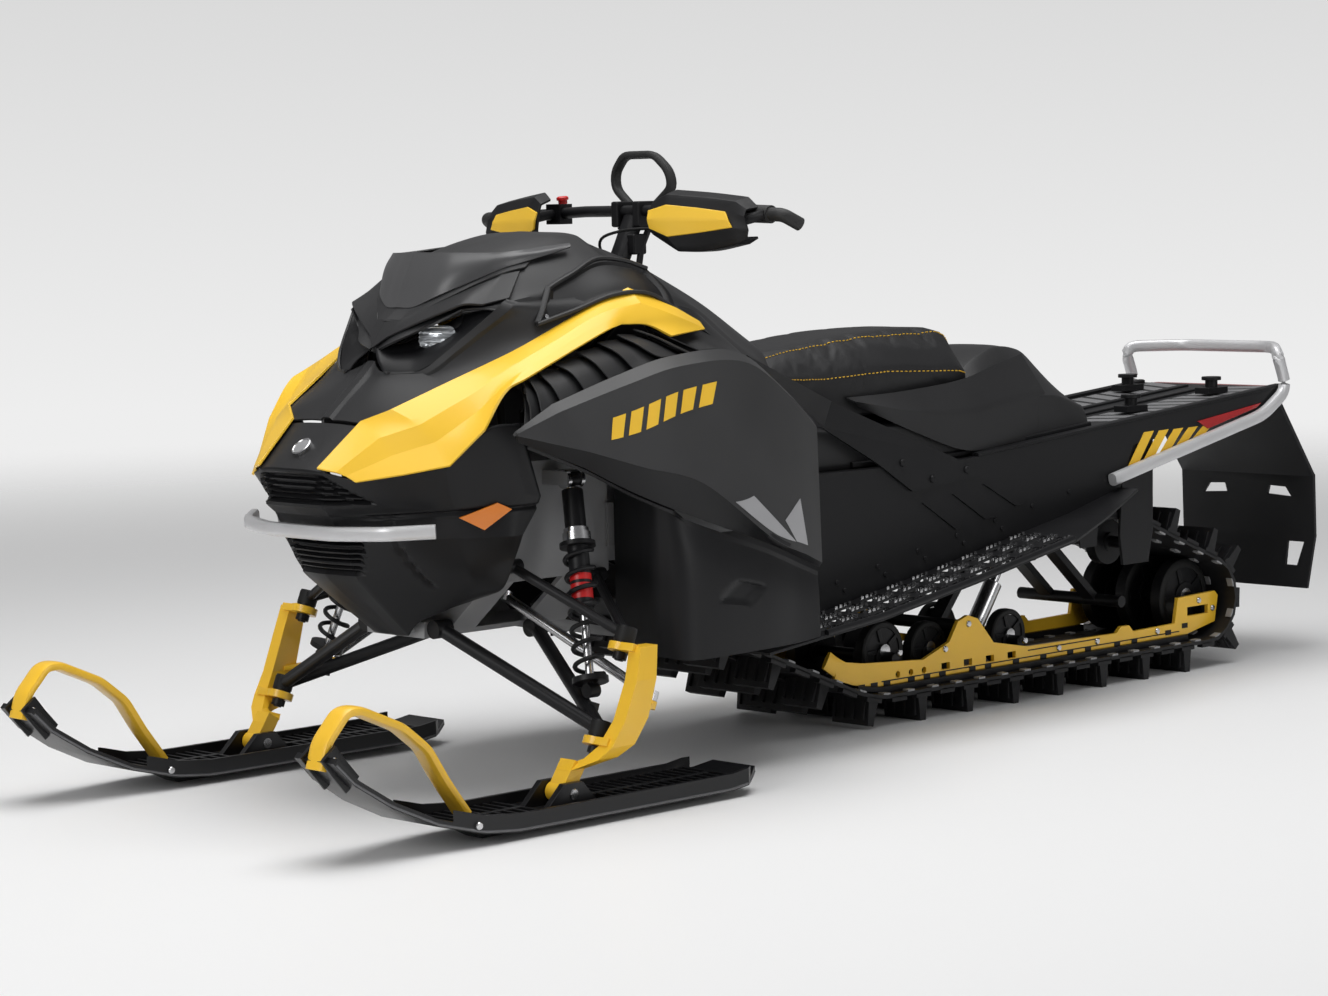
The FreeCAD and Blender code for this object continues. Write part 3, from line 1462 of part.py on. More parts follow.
def make_post():
    """The column, a yoke of two legs with a window between them, and the clamps round the bar."""
    axis = Vector(post_line).normalize()
    shape = rod(steer_point(0) - axis * 40, steer_point(0.5), size("column_radius"))
    for side in (-1, 1):
        leg = Vector(0, side * 22, 0)
        shape = shape.fuse(box_beam(steer_point(0.45) + leg, steer_point(0.93) + leg, 16, 30))
        clamp = Part.makeCylinder(size("clamp_radius"), 16, from_bar(0, side * 22 - 8, 0), Vector(0, 1, 0))
        shape = shape.fuse(clamp)
    shape = shape.fuse(box_beam(steer_point(0.4), steer_point(0.52), 60, 32))
    shape = shape.fuse(box_beam(steer_point(0.74), steer_point(0.82), 60, 28))
    bore = Part.makeCylinder(size("bar_radius") + 0.3, 80, from_bar(0, -40, 0), Vector(0, 1, 0))
    return shape.cut(bore)


free_form("steering_post", make_post())
bar_inner = from_bar(0, 130, 0)
bar_end = from_bar(8, 388, -10)
bar_run = [from_bar(8, -388, -10), from_bar(0, -130, 0), bar_inner, bar_end]
free_form("handlebar_tube", bent_tube(bar_run, size("bar_radius"), 60))


def on_bar(y):
    """The bar's middle line at a distance from the centre plane, on the outer run."""
    share = (abs(y) - bar_inner.y) / (bar_end.y - bar_inner.y)
    point = bar_inner + (bar_end - bar_inner) * share
    return Vector(point.x, math.copysign(point.y, y), point.z)


def make_grips():
    """Rubber sleeves on the bar's ends, each with its bent hook beyond the bar."""
    shapes = []
    for side in (-1, 1):
        start, end = on_bar(side * 290), on_bar(side * 389)
        outer = rod(start, end, size("grip_radius"))
        inner = rod(start - (end - start), end + (end - start), size("bar_radius") + 0.3)
        first = on_bar(side * 388.4)
        hook = bent_tube([first, on_bar(side * 420), first + Vector(-34, side * 42, -20)], 13, 14)
        shapes.append(outer.cut(inner).fuse(hook))
    return Part.Compound(shapes)


free_form("grips", make_grips())


def guard_loft(stations):
    """A loft along the bar: distance out, forward and depth of each section, its lowest and highest height."""
    wires = []
    for out, forward, deep, low, high in stations:
        centre = from_bar(forward, out, (low + high) / 2)
        wires.append(section(centre, Vector(0, 1, 0), deep, high - low))
    return Part.makeLoft(wires, True, True)


def make_guards():
    """A wind shell before each grip, held by a stay on the bar's end, and the plate on its front."""
    shell = guard_loft(((160, 58, 20, -34, 14), (205, 90, 22, -68, 26), (300, 92, 22, -48, 18),
                        (366, 56, 20, -28, 2)))
    shell = shell.fuse(rod(from_bar(48, 362, -13), on_bar(362) + Vector(size("grip_radius") + 0.4, 0, 0), 6))
    deep = 20 + 2 * size("guard_plate_thickness")
    plate = guard_loft(((170, 66, deep, -26, 2), (212, 90, deep, -36, 10), (296, 92, deep, -24, 4),
                        (340, 72, deep, -18, -8))).cut(shell)
    front = max(plate.Solids, key=lambda solid: solid.CenterOfMass.x)
    return both(shell), both(front)


guard_shells, guard_plates = make_guards()
free_form("hand_guards", guard_shells)
free_form("guard_inserts", guard_plates)


def make_strap():
    """The padded loop over the clamps, on a foot that rests on them."""
    foot_up = size("clamp_radius") + size("strap_foot_radius") + 0.4
    points = [from_bar(-2, -26, foot_up), from_bar(-16, -78, foot_up + 12), from_bar(-30, -66, foot_up + 62),
              from_bar(-34, -40, foot_up + 78)]
    points += [Vector(point.x, -point.y, point.z) for point in reversed(points)]
    foot = rod(from_bar(-2, -30, foot_up), from_bar(-2, 30, foot_up), size("strap_foot_radius"))
    return bent_tube(points, 8, 8).fuse(foot)


free_form("strap_loop", make_strap())


def make_controls():
    """The switch and throttle blocks, bored for the bar."""
    shapes = []
    for side in (-1, 1):
        block = Part.makeBox(34, 40, 40, from_bar(-18, side * 210 - 20, -24))
        shapes.append(block.cut(rod(on_bar(side * 150), on_bar(side * 270), size("bar_radius") + 0.3)))
    return Part.Compound(shapes)


free_form("bar_controls", make_controls())

doc.recompute()
for item in doc.Objects:
    if "Invalid" in item.State or "Error" in item.State:
        raise RuntimeError(item.Label + " failed: " + str(item.State))
for item in NODES:
    if item.Shape.isNull() or not item.Shape.isValid() or not item.Shape.Solids:
        raise RuntimeError(item.Label + " has no valid shape")
for item in NODES:
    item.Shape.exportStep("parts/" + item.Label + ".step")
print(len(NODES), "nodes written")
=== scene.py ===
import bpy
import bmesh
import json
import math
import numpy as np
from mathutils import Matrix, Vector
from mathutils.bvhtree import BVHTree


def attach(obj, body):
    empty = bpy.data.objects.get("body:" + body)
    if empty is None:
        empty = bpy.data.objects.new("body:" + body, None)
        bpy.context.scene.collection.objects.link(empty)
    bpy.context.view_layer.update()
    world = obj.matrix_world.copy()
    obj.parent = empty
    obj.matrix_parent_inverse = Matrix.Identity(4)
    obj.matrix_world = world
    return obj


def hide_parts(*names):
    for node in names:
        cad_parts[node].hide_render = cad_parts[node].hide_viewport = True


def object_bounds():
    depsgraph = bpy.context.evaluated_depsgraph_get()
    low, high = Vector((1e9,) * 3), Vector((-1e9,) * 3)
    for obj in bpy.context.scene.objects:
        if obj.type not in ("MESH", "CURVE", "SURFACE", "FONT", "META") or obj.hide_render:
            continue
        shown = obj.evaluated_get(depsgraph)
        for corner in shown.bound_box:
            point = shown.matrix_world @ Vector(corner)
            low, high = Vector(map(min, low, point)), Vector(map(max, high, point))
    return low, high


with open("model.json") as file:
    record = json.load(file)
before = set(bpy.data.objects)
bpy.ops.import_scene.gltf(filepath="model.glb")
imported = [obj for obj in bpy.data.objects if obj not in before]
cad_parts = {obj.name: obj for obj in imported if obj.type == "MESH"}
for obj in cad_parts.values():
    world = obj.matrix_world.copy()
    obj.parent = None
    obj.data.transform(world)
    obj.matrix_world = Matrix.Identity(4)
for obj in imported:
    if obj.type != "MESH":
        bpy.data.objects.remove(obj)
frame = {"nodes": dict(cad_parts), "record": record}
cad_low, cad_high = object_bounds()

# Front frame: a tub folded from steel plate that carries the suspension arms, sprayed grey, and a hoop of
# steel tubes over the engine up to the steering bearing, sprayed black.
body_of = {node: body for body, nodes in frame["record"]["behaviour"]["bodies"].items() for node in nodes}


def nodes_of(material):
    """The material's nodes and links."""
    material.use_nodes = True
    return material.node_tree.nodes, material.node_tree.links


def sprayed(name, colour, roughness, speckle=0.05, grain=900.0, metal=0.0, coat=0.0, bump=0.05, shine=0.5):
    """A coat of paint or moulded skin: colour = base * (1 + speckle * broad noise), height = bump * fine
    noise, and a roughness that rises a little where the broad noise is high, as on handled parts."""
    material = bpy.data.materials.new(name)
    nodes, links = nodes_of(material)
    shader = nodes["Principled BSDF"]
    shader.inputs["Metallic"].default_value = metal
    shader.inputs["Coat Weight"].default_value = coat
    shader.inputs["Coat Roughness"].default_value = 0.12
    shader.inputs["Specular IOR Level"].default_value = shine
    place = nodes.new("ShaderNodeTexCoord")
    broad = nodes.new("ShaderNodeTexNoise")
    broad.inputs["Scale"].default_value = 7.0
    broad.inputs["Detail"].default_value = 5.0
    links.new(place.outputs["Object"], broad.inputs["Vector"])
    tint = nodes.new("ShaderNodeValToRGB")
    tint.color_ramp.elements[0].position = 0.3
    tint.color_ramp.elements[1].position = 0.7
    tint.color_ramp.elements[0].color = (*[c * (1 - speckle) for c in colour], 1)
    tint.color_ramp.elements[1].color = (*[min(1.0, c * (1 + speckle)) for c in colour], 1)
    links.new(broad.outputs["Fac"], tint.inputs["Fac"])
    links.new(tint.outputs["Color"], shader.inputs["Base Color"])
    rough = nodes.new("ShaderNodeMapRange")
    rough.inputs["From Min"].default_value = 0.3
    rough.inputs["From Max"].default_value = 0.7
    rough.inputs["To Min"].default_value = roughness * 0.92
    rough.inputs["To Max"].default_value = min(1.0, roughness * 1.1)
    links.new(broad.outputs["Fac"], rough.inputs["Value"])
    links.new(rough.outputs["Result"], shader.inputs["Roughness"])
    fine = nodes.new("ShaderNodeTexNoise")
    fine.inputs["Scale"].default_value = grain
    fine.inputs["Detail"].default_value = 3.0
    links.new(place.outputs["Object"], fine.inputs["Vector"])
    relief = nodes.new("ShaderNodeBump")
    relief.inputs["Strength"].default_value = bump
    relief.inputs["Distance"].default_value = 0.0006
    links.new(fine.outputs["Fac"], relief.inputs["Height"])
    links.new(relief.outputs["Normal"], shader.inputs["Normal"])
    return material


def soften(piece, radius, sharp):
    """Edges that turn by more than the sharp angle, rounded to a radius in two steps."""
    rounding = piece.modifiers.new("edges", "BEVEL")
    rounding.width = radius
    rounding.segments = 2
    rounding.limit_method = "ANGLE"
    rounding.angle_limit = math.radians(sharp)
    rounding.harden_normals = True


def piece_of(name, mesh, material, body="chassis", slot="", sharp=30.0, edge=0.0, replaces=()):
    """A shaded piece that rides on a body and takes the given material. The slot is not used."""
    mesh.materials.clear()
    mesh.materials.append(material)
    mesh.polygons.foreach_set("use_smooth", np.ones(len(mesh.polygons), bool))
    mesh.set_sharp_from_angle(angle=math.radians(sharp))
    piece = bpy.data.objects.new(name, mesh)
    bpy.context.scene.collection.objects.link(piece)
    if edge:
        soften(piece, edge, sharp)
    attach(piece, body)
    if replaces:
        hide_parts(*replaces)
    return piece


def dressed(node, material, edge=0.0015, sharp=32.0):
    """The CAD node's own surface with its triangles welded, its flat faces joined and its sharp edges
    rounded to a radius: it stands for the node and moves with the node's body."""
    mesh = frame["nodes"][node].data.copy()
    work = bmesh.new()
    work.from_mesh(mesh)
    bmesh.ops.remove_doubles(work, verts=work.verts, dist=2e-5)
    bmesh.ops.dissolve_limit(work, angle_limit=math.radians(0.6), verts=work.verts, edges=work.edges)
    work.to_mesh(mesh)
    work.free()
    return piece_of(node + "_finish", mesh, material, body_of[node], sharp=sharp, edge=edge, replaces=(node,))


black_coat = sprayed("black_coat", (0.009, 0.009, 0.010), 0.42, shine=0.25)
grey_coat = sprayed("grey_coat", (0.27, 0.272, 0.278), 0.45, metal=0.1)
dressed("bulkhead", grey_coat, 0.002)
dressed("steering_hoop", black_coat, 0.001)

# Tunnel: folded aluminium, painted black, that covers the track and carries the seat. Marks pressed into
# its sides stiffen them, and plain yellow bars are printed behind these.
dark_plastic = sprayed("dark_plastic", (0.008, 0.008, 0.009), 0.42, grain=1500.0, bump=0.08, shine=0.25)
yellow_print = sprayed("yellow_print", (0.88, 0.53, 0.03), 0.4)
dressed("tunnel", black_coat, 0.001)
ski_reach = 0.540
bolt_x = (cad_high[0] - ski_reach) * 1000
tunnel_side = 205.0
pressed_marks = [
    [(-1213, 450), (-1238, 442), (-1353, 396), (-1316, 386)],
    [(-1306, 461), (-1338, 452), (-1451, 403), (-1409, 399)],
    [(-1401, 475), (-1432, 467), (-1546, 426), (-1506, 419)],
]
flank_bars = [[(x, 466 + k * 9), (x - 34, 468 + k * 9), (x - 98, 548), (x - 64, 547)]
              for k, x in enumerate(range(-1874, -2100, -52))]


def at_mm(points):
    """Places in metres from stations in mm, which count forward, left and up from the ski bolts: the station
    plus the bolts' own place, over 1000."""
    return (np.array(points, float) + (bolt_x, 0, 0)) / 1000


def grid_part(points):
    """Vertices and quads of a grid of points. A quad faces the cross product of the step along its row and
    the step to the next row."""
    rows, columns = points.shape[:2]
    index = np.arange(rows * columns).reshape(rows, columns)
    quads = np.stack([index[:-1, :-1], index[:-1, 1:], index[1:, 1:], index[1:, :-1]], axis=2)
    return points.reshape(-1, 3), quads.reshape(-1, 4)


def mesh_of(name, parts):
    """One mesh of several parts, each a pair of vertices and quads, with its seams welded."""
    vertices, quads, count = [], [], 0
    for part in parts:
        points, faces = part if isinstance(part, tuple) else grid_part(part)
        vertices.append(points)
        quads.append(faces + count)
        count += len(points)
    mesh = bpy.data.meshes.new(name)
    mesh.from_pydata(np.concatenate(vertices).tolist(), [], np.concatenate(quads).tolist())
    work = bmesh.new()
    work.from_mesh(mesh)
    bmesh.ops.remove_doubles(work, verts=work.verts, dist=1e-5)
    work.to_mesh(mesh)
    work.free()
    return mesh


def faced_out(name, points, core):
    """A mesh of a grid with its seams welded and its faces turned away from a core: over all of them, the sum
    of area times how far the normal points along the line from the core is above zero."""
    mesh = mesh_of(name, [points])
    work = bmesh.new()
    work.from_mesh(mesh)
    bmesh.ops.recalc_face_normals(work, faces=work.faces)
    outward = sum((face.normal.dot(face.calc_center_median() - Vector(core)) * face.calc_area()
                   for face in work.faces))
    if outward < 0:
        bmesh.ops.reverse_faces(work, faces=work.faces)
    work.to_mesh(mesh)
    work.free()
    return mesh


def plate_on_side(name, outline, rise, material, side, fall=3.0):
    """A low plate on the tunnel's side: its outline (forward, up), raised and drawn in by a bevel's fall."""
    outline = np.array(outline, float)
    centre = outline.mean(0)
    ring = np.concatenate([outline, outline[:1]])
    reach = np.linalg.norm(ring - centre, axis=1)[:, None]
    inward = centre + (ring - centre) * (1 - fall / np.maximum(reach, 20))
    rows = [np.c_[ring[:, 0], np.full(len(ring), side * (tunnel_side - 0.5)), ring[:, 1]],
            np.c_[inward[:, 0], np.full(len(ring), side * (tunnel_side + rise)), inward[:, 1]],
            np.repeat([[centre[0], side * (tunnel_side + rise), centre[1]]], len(ring), 0)]
    mesh = faced_out(name, at_mm(np.array(rows)[:, ::side]), machine_core)
    return piece_of(name, mesh, material, sharp=20)


machine_core = at_mm((-250, 0, 600)).tolist()
sides = ((1, "left"), (-1, "right"))
for side, label in sides:
    for number, mark in enumerate(pressed_marks):
        plate_on_side("pressed_mark_" + label + str(number), mark, 4, dark_plastic, side)
    for number, bar in enumerate(flank_bars):
        plate_on_side("number_bar_" + label + str(number), bar, 0.7, yellow_print, side, fall=0.5)

# Tunnel bolts: two rows of domed heads along each side, over the brackets of the skid. They are set in
# blind and capped with dark plastic.


def unit(vectors):
    """Vectors over their own lengths, along the last axis."""
    vectors = np.asarray(vectors, float)
    return vectors / np.maximum(np.linalg.norm(vectors, axis=-1, keepdims=True), 1e-9)


def spun(profile, centre, axis, steps=24):
    """A surface of revolution about an axis through a centre: radius * (cos t * side + sin t * across) +
    height * axis, for each (radius, height) of the profile and each turn t."""
    axis = unit(axis)
    side = unit(np.cross(axis, (0.3, 0.5, 0.81)))
    turn = np.linspace(0, 2 * np.pi, steps + 1)
    ring = np.cos(turn)[:, None] * side + np.sin(turn)[:, None] * np.cross(axis, side)
    radius, height = np.array(profile, float).T
    return at_mm([centre])[0] + (radius[:, None, None] * ring + height[:, None, None] * axis) / 1000


def built(name, parts, material, *finish, **fixing):
    """A piece made from parts, with the same finish and fixing as piece_of takes."""
    return piece_of(name, mesh_of(name, parts), material, *finish, **fixing)


def heads(name, places, axis, radius, material, high=4.0, body="chassis"):
    """Bolt heads: low domes of one radius that stand on a surface along an axis."""
    profile = [(0, -2), (radius, -2), (radius, high * 0.5), (radius * 0.8, high * 0.9), (0, high)]
    return built(name, [spun(profile, place, axis, 12) for place in places], material, body)


for side, label in sides:
    bolts = [(x, side * tunnel_side, 318 - (x + 1000) * 0.175) for x in range(-960, -1800, -120)]
    bolts += [(x - 22, side * tunnel_side, 300 - (x + 1000) * 0.175) for x in range(-960, -1500, -120)]
    heads("tunnel_bolts_" + label, bolts, (0, side, 0), 5.5, dark_plastic, 3)

# Deck: the tunnel's top, which rises towards the tail. Plastic strips are bolted along its edges, latch
# posts of moulded plastic stand on it, and a plain grey pattern of slanted bars is printed on it.
deck_grey = sprayed("deck_grey", (0.17, 0.17, 0.175), 0.45)
deck_low, deck_high, deck_bend, deck_tail = 530, 618, -1361, -2440
dressed("cargo_anchors", dark_plastic, 0.001)


def swept(path, wide, high, up=(0, 0, 1), steps=12, power=2.0):
    """A tube along a path in mm. Its section is a rounded oblong of the given width and height, of radius
    1 / (|cos|^power + |sin|^power)^(1/power). It stands square to the path and level with the up direction,
    and the ends are closed."""
    path = np.array(path, float)
    ahead = unit(np.gradient(path, axis=0))
    side = unit(np.cross(np.broadcast_to(up, ahead.shape), ahead))
    above = np.cross(ahead, side)
    turn = np.linspace(0, 2 * np.pi, steps + 1)
    reach = 0.5 / (np.abs(np.cos(turn)) ** power + np.abs(np.sin(turn)) ** power) ** (1 / power)
    wide = np.broadcast_to(wide, len(path))[:, None, None]
    high = np.broadcast_to(high, len(path))[:, None, None]
    ring = (side[:, None] * (reach * np.cos(turn))[:, None] * wide
            + above[:, None] * (reach * np.sin(turn))[:, None] * high)
    tube = path[:, None] + ring
    ends = [np.repeat(tube[at].mean(0, keepdims=True), steps + 1, 0)[None] for at in (0, -1)]
    return at_mm(np.concatenate([ends[0], tube, ends[1]]))


def deck_height(x):
    """Height of the deck in mm: level over the drive, then rising evenly to the tail."""
    behind = np.maximum(0, deck_bend - np.asarray(x, float))
    return deck_low + behind * (deck_high - deck_low) / (deck_bend - deck_tail)


def block_part(corners):
    """Vertices and quads of any number of six-sided blocks, eight corners each: four below, four above."""
    faces = np.array([(0, 3, 2, 1), (4, 5, 6, 7), (0, 1, 5, 4), (1, 2, 6, 5), (2, 3, 7, 6), (3, 0, 4, 7)])
    count = len(corners)
    quads = faces[None] + 8 * np.arange(count)[:, None, None]
    return corners.reshape(-1, 3), quads.reshape(-1, 4)


rail_x = np.linspace(-1390, -2436, 30)
strips = []
for side in (-1, 1):
    path = np.c_[rail_x, np.full(30, side * 196.0), deck_height(rail_x) + 3]
    strips.append(swept(path, 22, 9, power=5))
built("deck_edges", strips, dark_plastic)
groove_x = np.linspace(-1830, -2400, 20)
groove = [swept(np.c_[groove_x, np.full(20, y), deck_height(groove_x) + 1.5], 9, 7, power=5)
          for y in (-34, 34)]
built("deck_ribs", groove, dark_plastic)
bars = []
for x in np.arange(-1850, -2380, -52):
    for side in (-1, 1):
        corners = [(x, side * 66), (x - 36, side * 66), (x - 70, side * 168), (x - 34, side * 168)][::side]
        bars.append([(a, b, float(deck_height(a)) - 1) for a, b in corners]
                    + [(a, b, float(deck_height(a)) + 0.8) for a, b in corners])
built("deck_pattern", [block_part(at_mm(bars))], deck_grey)

# Foot boards: pressed aluminium sheets with bright edges to their holes, riveted to the tunnel and bound
# by a dark tube along the outer edge. A plastic pan closes the underside below the engine.
bare_steel = sprayed("bare_steel", (0.60, 0.60, 0.61), 0.25, metal=1.0, bump=0.02)
dressed("running_board_left", black_coat, 0.001)
dressed("running_board_right", black_coat, 0.001)
dressed("belly_pan", dark_plastic, 0.001)


def board_height(x):
    """Height of the foot boards in mm, by straight lines between five places from front to tail."""
    return np.interp(-np.asarray(x, float), [600, 921, 1206, 1678, 1853], [224, 258, 305, 391, 433])


def boxes(centres, sizes, turned=np.eye(3)):
    """Corners of boxes: centre + turned @ (+-size / 2), in metres from mm."""
    signs = np.array([(-1, -1, -1), (1, -1, -1), (1, 1, -1), (-1, 1, -1), (-1, -1, 1), (1, -1, 1), (1, 1, 1),
                      (-1, 1, 1)]) / 2
    centres = np.atleast_2d(centres)
    sizes = np.broadcast_to(sizes, centres.shape)
    turned = np.broadcast_to(turned, (len(centres), 3, 3))
    return at_mm(centres)[:, None] + np.einsum("nij,nkj->nki", turned, signs[None] * sizes[:, None]) / 1000


board_x = np.linspace(-760, -1500, 40)
for side, label in sides:
    outer = swept(np.c_[board_x, np.full(40, side * 366.0), board_height(board_x) + 3], 12, 14)
    built("board_edge_" + label, [outer], dark_plastic)
    teeth = []
    for row in (221.5, 254.5, 266.5, 299.5, 311.5, 344.5):
        x = -780 - 76 * np.repeat(np.arange(10), 4) - np.tile([6, 19, 32, 45], 10)
        teeth.append(np.c_[x, np.full(40, side * row), board_height(x) + 3])
    built("board_teeth_" + label, [block_part(boxes(np.concatenate(teeth), (7, 4, 7)))], bare_steel)

# Engine: cast alloy, bolted into the tub under the hood, where little of it shows. It is one block, as
# heavy as the real one with its clutches and exhaust.
cast_alloy = sprayed("cast_alloy", (0.36, 0.36, 0.37), 0.45, metal=1.0, grain=500.0, bump=0.3)
dressed("engine_block", cast_alloy, 0.004)

# Drive: a steel axle with toothed plastic sprockets across the tunnel, and the rollers that guide the
# track under the deck, on brackets bolted to the tunnel.
dressed("drive_axle", dark_plastic, 0.001)
dressed("carrier_rollers", black_coat, 0.001)

# Rails of the skid inside the track: extruded aluminium, painted yellow and bent up in front, with bolted
# cross shafts, dark slots punched through their webs and plastic runners pushed on below.
yellow_paint = sprayed("yellow_paint", (0.88, 0.52, 0.03), 0.34, coat=0.2, bump=0.02)
rail_face = 154.5
for side, label in sides:
    dressed("rail_" + label, yellow_paint, 0.0008)
    shafts = [(-1195, side * rail_face, 141), (-1335, side * rail_face, 133), (-1409, side * rail_face, 178),
              (-1590, side * rail_face, 124), (-1700, side * rail_face, 96), (-1830, side * rail_face, 96),
              (-2040, side * rail_face, 96), (-2190, side * rail_face, 150), (-2240, side * rail_face, 128)]
    heads("rail_bolts_" + label, shafts, (0, side, 0), 7, bare_steel, 5)
    line = boxes([(-1630, side * rail_face, 87), (-1720, side * rail_face, 101)],
                 [(980, 1.2, 2.5), (240, 1.2, 2.5)])
    built("rail_line_" + label, [block_part(line)], black_coat)
    bend = np.radians(np.linspace(-4, 36, 12))
    toe = np.c_[-1140 + 268 * np.sin(bend), np.full(12, side * 150.0), 365 - 268 * np.cos(bend)]
    built("rail_toe_" + label, [swept(toe, 38, 9, up=(0, 1, 0), power=6)], yellow_paint)
rail_holes = [(x, side * (rail_face + 0.2), 82 + max(0, -2040 - x) * 0.16) for side in (-1, 1)
              for x in (-1080, -1118, -1156, -1230, -1278, -1326, -1420, -1470, -1560, -1650, -1740, -1800,
                        -1900, -1960, -2080, -2140)]
built("rail_slots", [block_part(boxes(np.array(rail_holes), (20, 1.6, 11)))], black_coat)
dressed("slide_runners", dark_plastic, 0.001)

# Wheels of the skid: moulded plastic with rubber rims and five spokes, on ball bearings with bright caps.
# Two black swing arms and the long shock between them carry the rails.
wheel_rubber = sprayed("wheel_rubber", (0.008, 0.008, 0.008), 0.6, grain=900.0, bump=0.2, shine=0.3)
dressed("rail_wheels", dark_plastic, 0.001)
dressed("rear_wheels", dark_plastic, 0.001)
dressed("swing_arms", black_coat, 0.001)
dressed("skid_shock", bare_steel, 0.001)
tyres, spokes, hubs = [], [], []
for x, z, y, radius in ((-1195, 140.3, 95, 62), (-1335, 133.3, 95, 55), (-1590, 133.3, 95, 55),
                        (-2190, 154.2, 100, 87), (-2190, 154.2, 0, 87)):
    for side in (-1, 1) if y else (1,):
        face = (x, side * (y + 13), z)
        tyre = [(radius * 0.78, -2), (radius * 0.78, 2.5), (radius * 0.84, 4), (radius * 0.94, 3.5),
                (radius - 0.5, 0.5), (radius, -13), (radius - 1, -20)]
        hub = [(radius * 0.24, 4), (radius * 0.24, 8), (radius * 0.12, 9), (0, 9)]
        tyres.append(spun(tyre, face, (0, side, 0), 40))
        hubs.append(spun(hub, face, (0, side, 0)))
        for turn in 2 * np.pi * np.arange(5) / 5:
            spoke = np.array([[np.cos(turn), 0, -np.sin(turn)], [0, 1, 0], [np.sin(turn), 0, np.cos(turn)]])
            centre = np.array(face) + radius * 0.56 * spoke[:, 0]
            spokes.append(boxes(centre, (radius * 0.46, 8, radius * 0.14), spoke)[0])
built("wheel_tyres", tyres, wheel_rubber)
built("wheel_spokes", [block_part(np.array(spokes))], dark_plastic, edge=0.001)
built("wheel_hubs", hubs, bare_steel)

# Track: one moulded rubber belt with fibre cross bars, staggered paddle lugs with stiffening ribs, and
# steel guide clips over the bars beside each window. It runs round four circles: rear wheels, front bend
# of the rails, sprockets and carrier rollers.
track_rubber = sprayed("track_rubber", (0.009, 0.009, 0.010), 0.55, grain=1200.0, bump=0.12, shine=0.35)
dressed("track", track_rubber, 0.0)
circles = np.array([(-2190, 154.2, 89.2), (-1140, 365, 300), (-637, 345, 90.2), (-1915, 305, 53.7)])
belt_thick, lug_high, shoes = 8.0, 57.0, 51


def track_frames(count, offset=0.0):
    """Evenly spaced places on the belt's inner face with the direction out of the loop, as arrays of
    (forward, up): arcs about each circle, straight runs along their common tangents."""
    following = np.roll(circles, -1, axis=0)
    step = following[:, :2] - circles[:, :2]
    leaves = np.arctan2(step[:, 1], step[:, 0]) + np.arcsin((circles[:, 2] - following[:, 2])
                                                            / np.linalg.norm(step, axis=1))
    came = np.roll(leaves, 1)
    lengths = []
    for at in range(4):
        out = np.array([np.sin(leaves[at]), -np.cos(leaves[at])])
        run = (following[at, :2] + following[at, 2] * out) - (circles[at, :2] + circles[at, 2] * out)
        lengths += [circles[at, 2] * ((leaves[at] - came[at]) % (2 * np.pi)), np.linalg.norm(run)]
    ends = np.cumsum(lengths)
    places, outs = [], []
    for distance in (np.arange(count) + offset) * ends[-1] / count:
        span = int(np.searchsorted(ends, distance, side="right"))
        at, rest = span // 2, distance - (ends[span - 1] if span else 0)
        heading = came[at] + rest / circles[at, 2] if span % 2 == 0 else leaves[at]
        out = np.array([np.sin(heading), -np.cos(heading)])
        along = np.array([np.cos(heading), np.sin(heading)])
        places.append(circles[at, :2] + circles[at, 2] * out + (along * rest if span % 2 else 0))
        outs.append(out)
    return np.array(places), np.array(outs)


def along_track(places, outs, y, shift, height, sizes):
    """Boxes fixed to the belt: place + along * shift + out * height, with sizes along, across and out."""
    along = np.c_[-outs[:, 1], outs[:, 0]]
    flat = places + along * shift + outs * height
    centres = np.c_[flat[:, 0], np.full(len(flat), y), flat[:, 1]]
    turned = np.zeros((len(flat), 3, 3))
    turned[:, 0, 0], turned[:, 2, 0] = along[:, 0], along[:, 1]
    turned[:, 1, 1] = 1
    turned[:, 0, 2], turned[:, 2, 2] = outs[:, 0], outs[:, 1]
    turned[:, :, 1] *= np.sign(np.linalg.det(turned))[:, None]
    return boxes(centres, sizes, turned)


places, outs = track_frames(shoes, 0.5)
ribs, pads = [], []
for kind, rows in ((1, (-62, -31, 0, 31, 62)), (0, (-176, -148, -120, -96, 96, 120, 148, 176))):
    chosen = np.arange(shoes) % 2 == kind
    for y in rows:
        ribs.append(along_track(places[chosen], outs[chosen], y, 0, belt_thick + lug_high * 0.42,
                                (31, 6, lug_high * 0.78)))
for y in (-183, -75, 75, 183):
    pads.append(along_track(places, outs, y, 0, belt_thick + 3, (44, 15, 10)))
built("lug_ribs", [block_part(np.concatenate(ribs))], track_rubber, edge=0.001)
built("lug_pads", [block_part(np.concatenate(pads))], track_rubber)
places, outs = track_frames(shoes)
clips = [along_track(places, outs, y, 0, -1.5, (20, 16, 5)) for y in (-182, -118, 118, 182)]
windows = [along_track(places, outs, y, 0, 0, (34, 22, 1.2)) for y in (-100, 100)]
built("track_clips", [block_part(np.concatenate(clips))], grey_coat, edge=0.0008)
built("track_windows", [block_part(np.concatenate(windows))], black_coat)

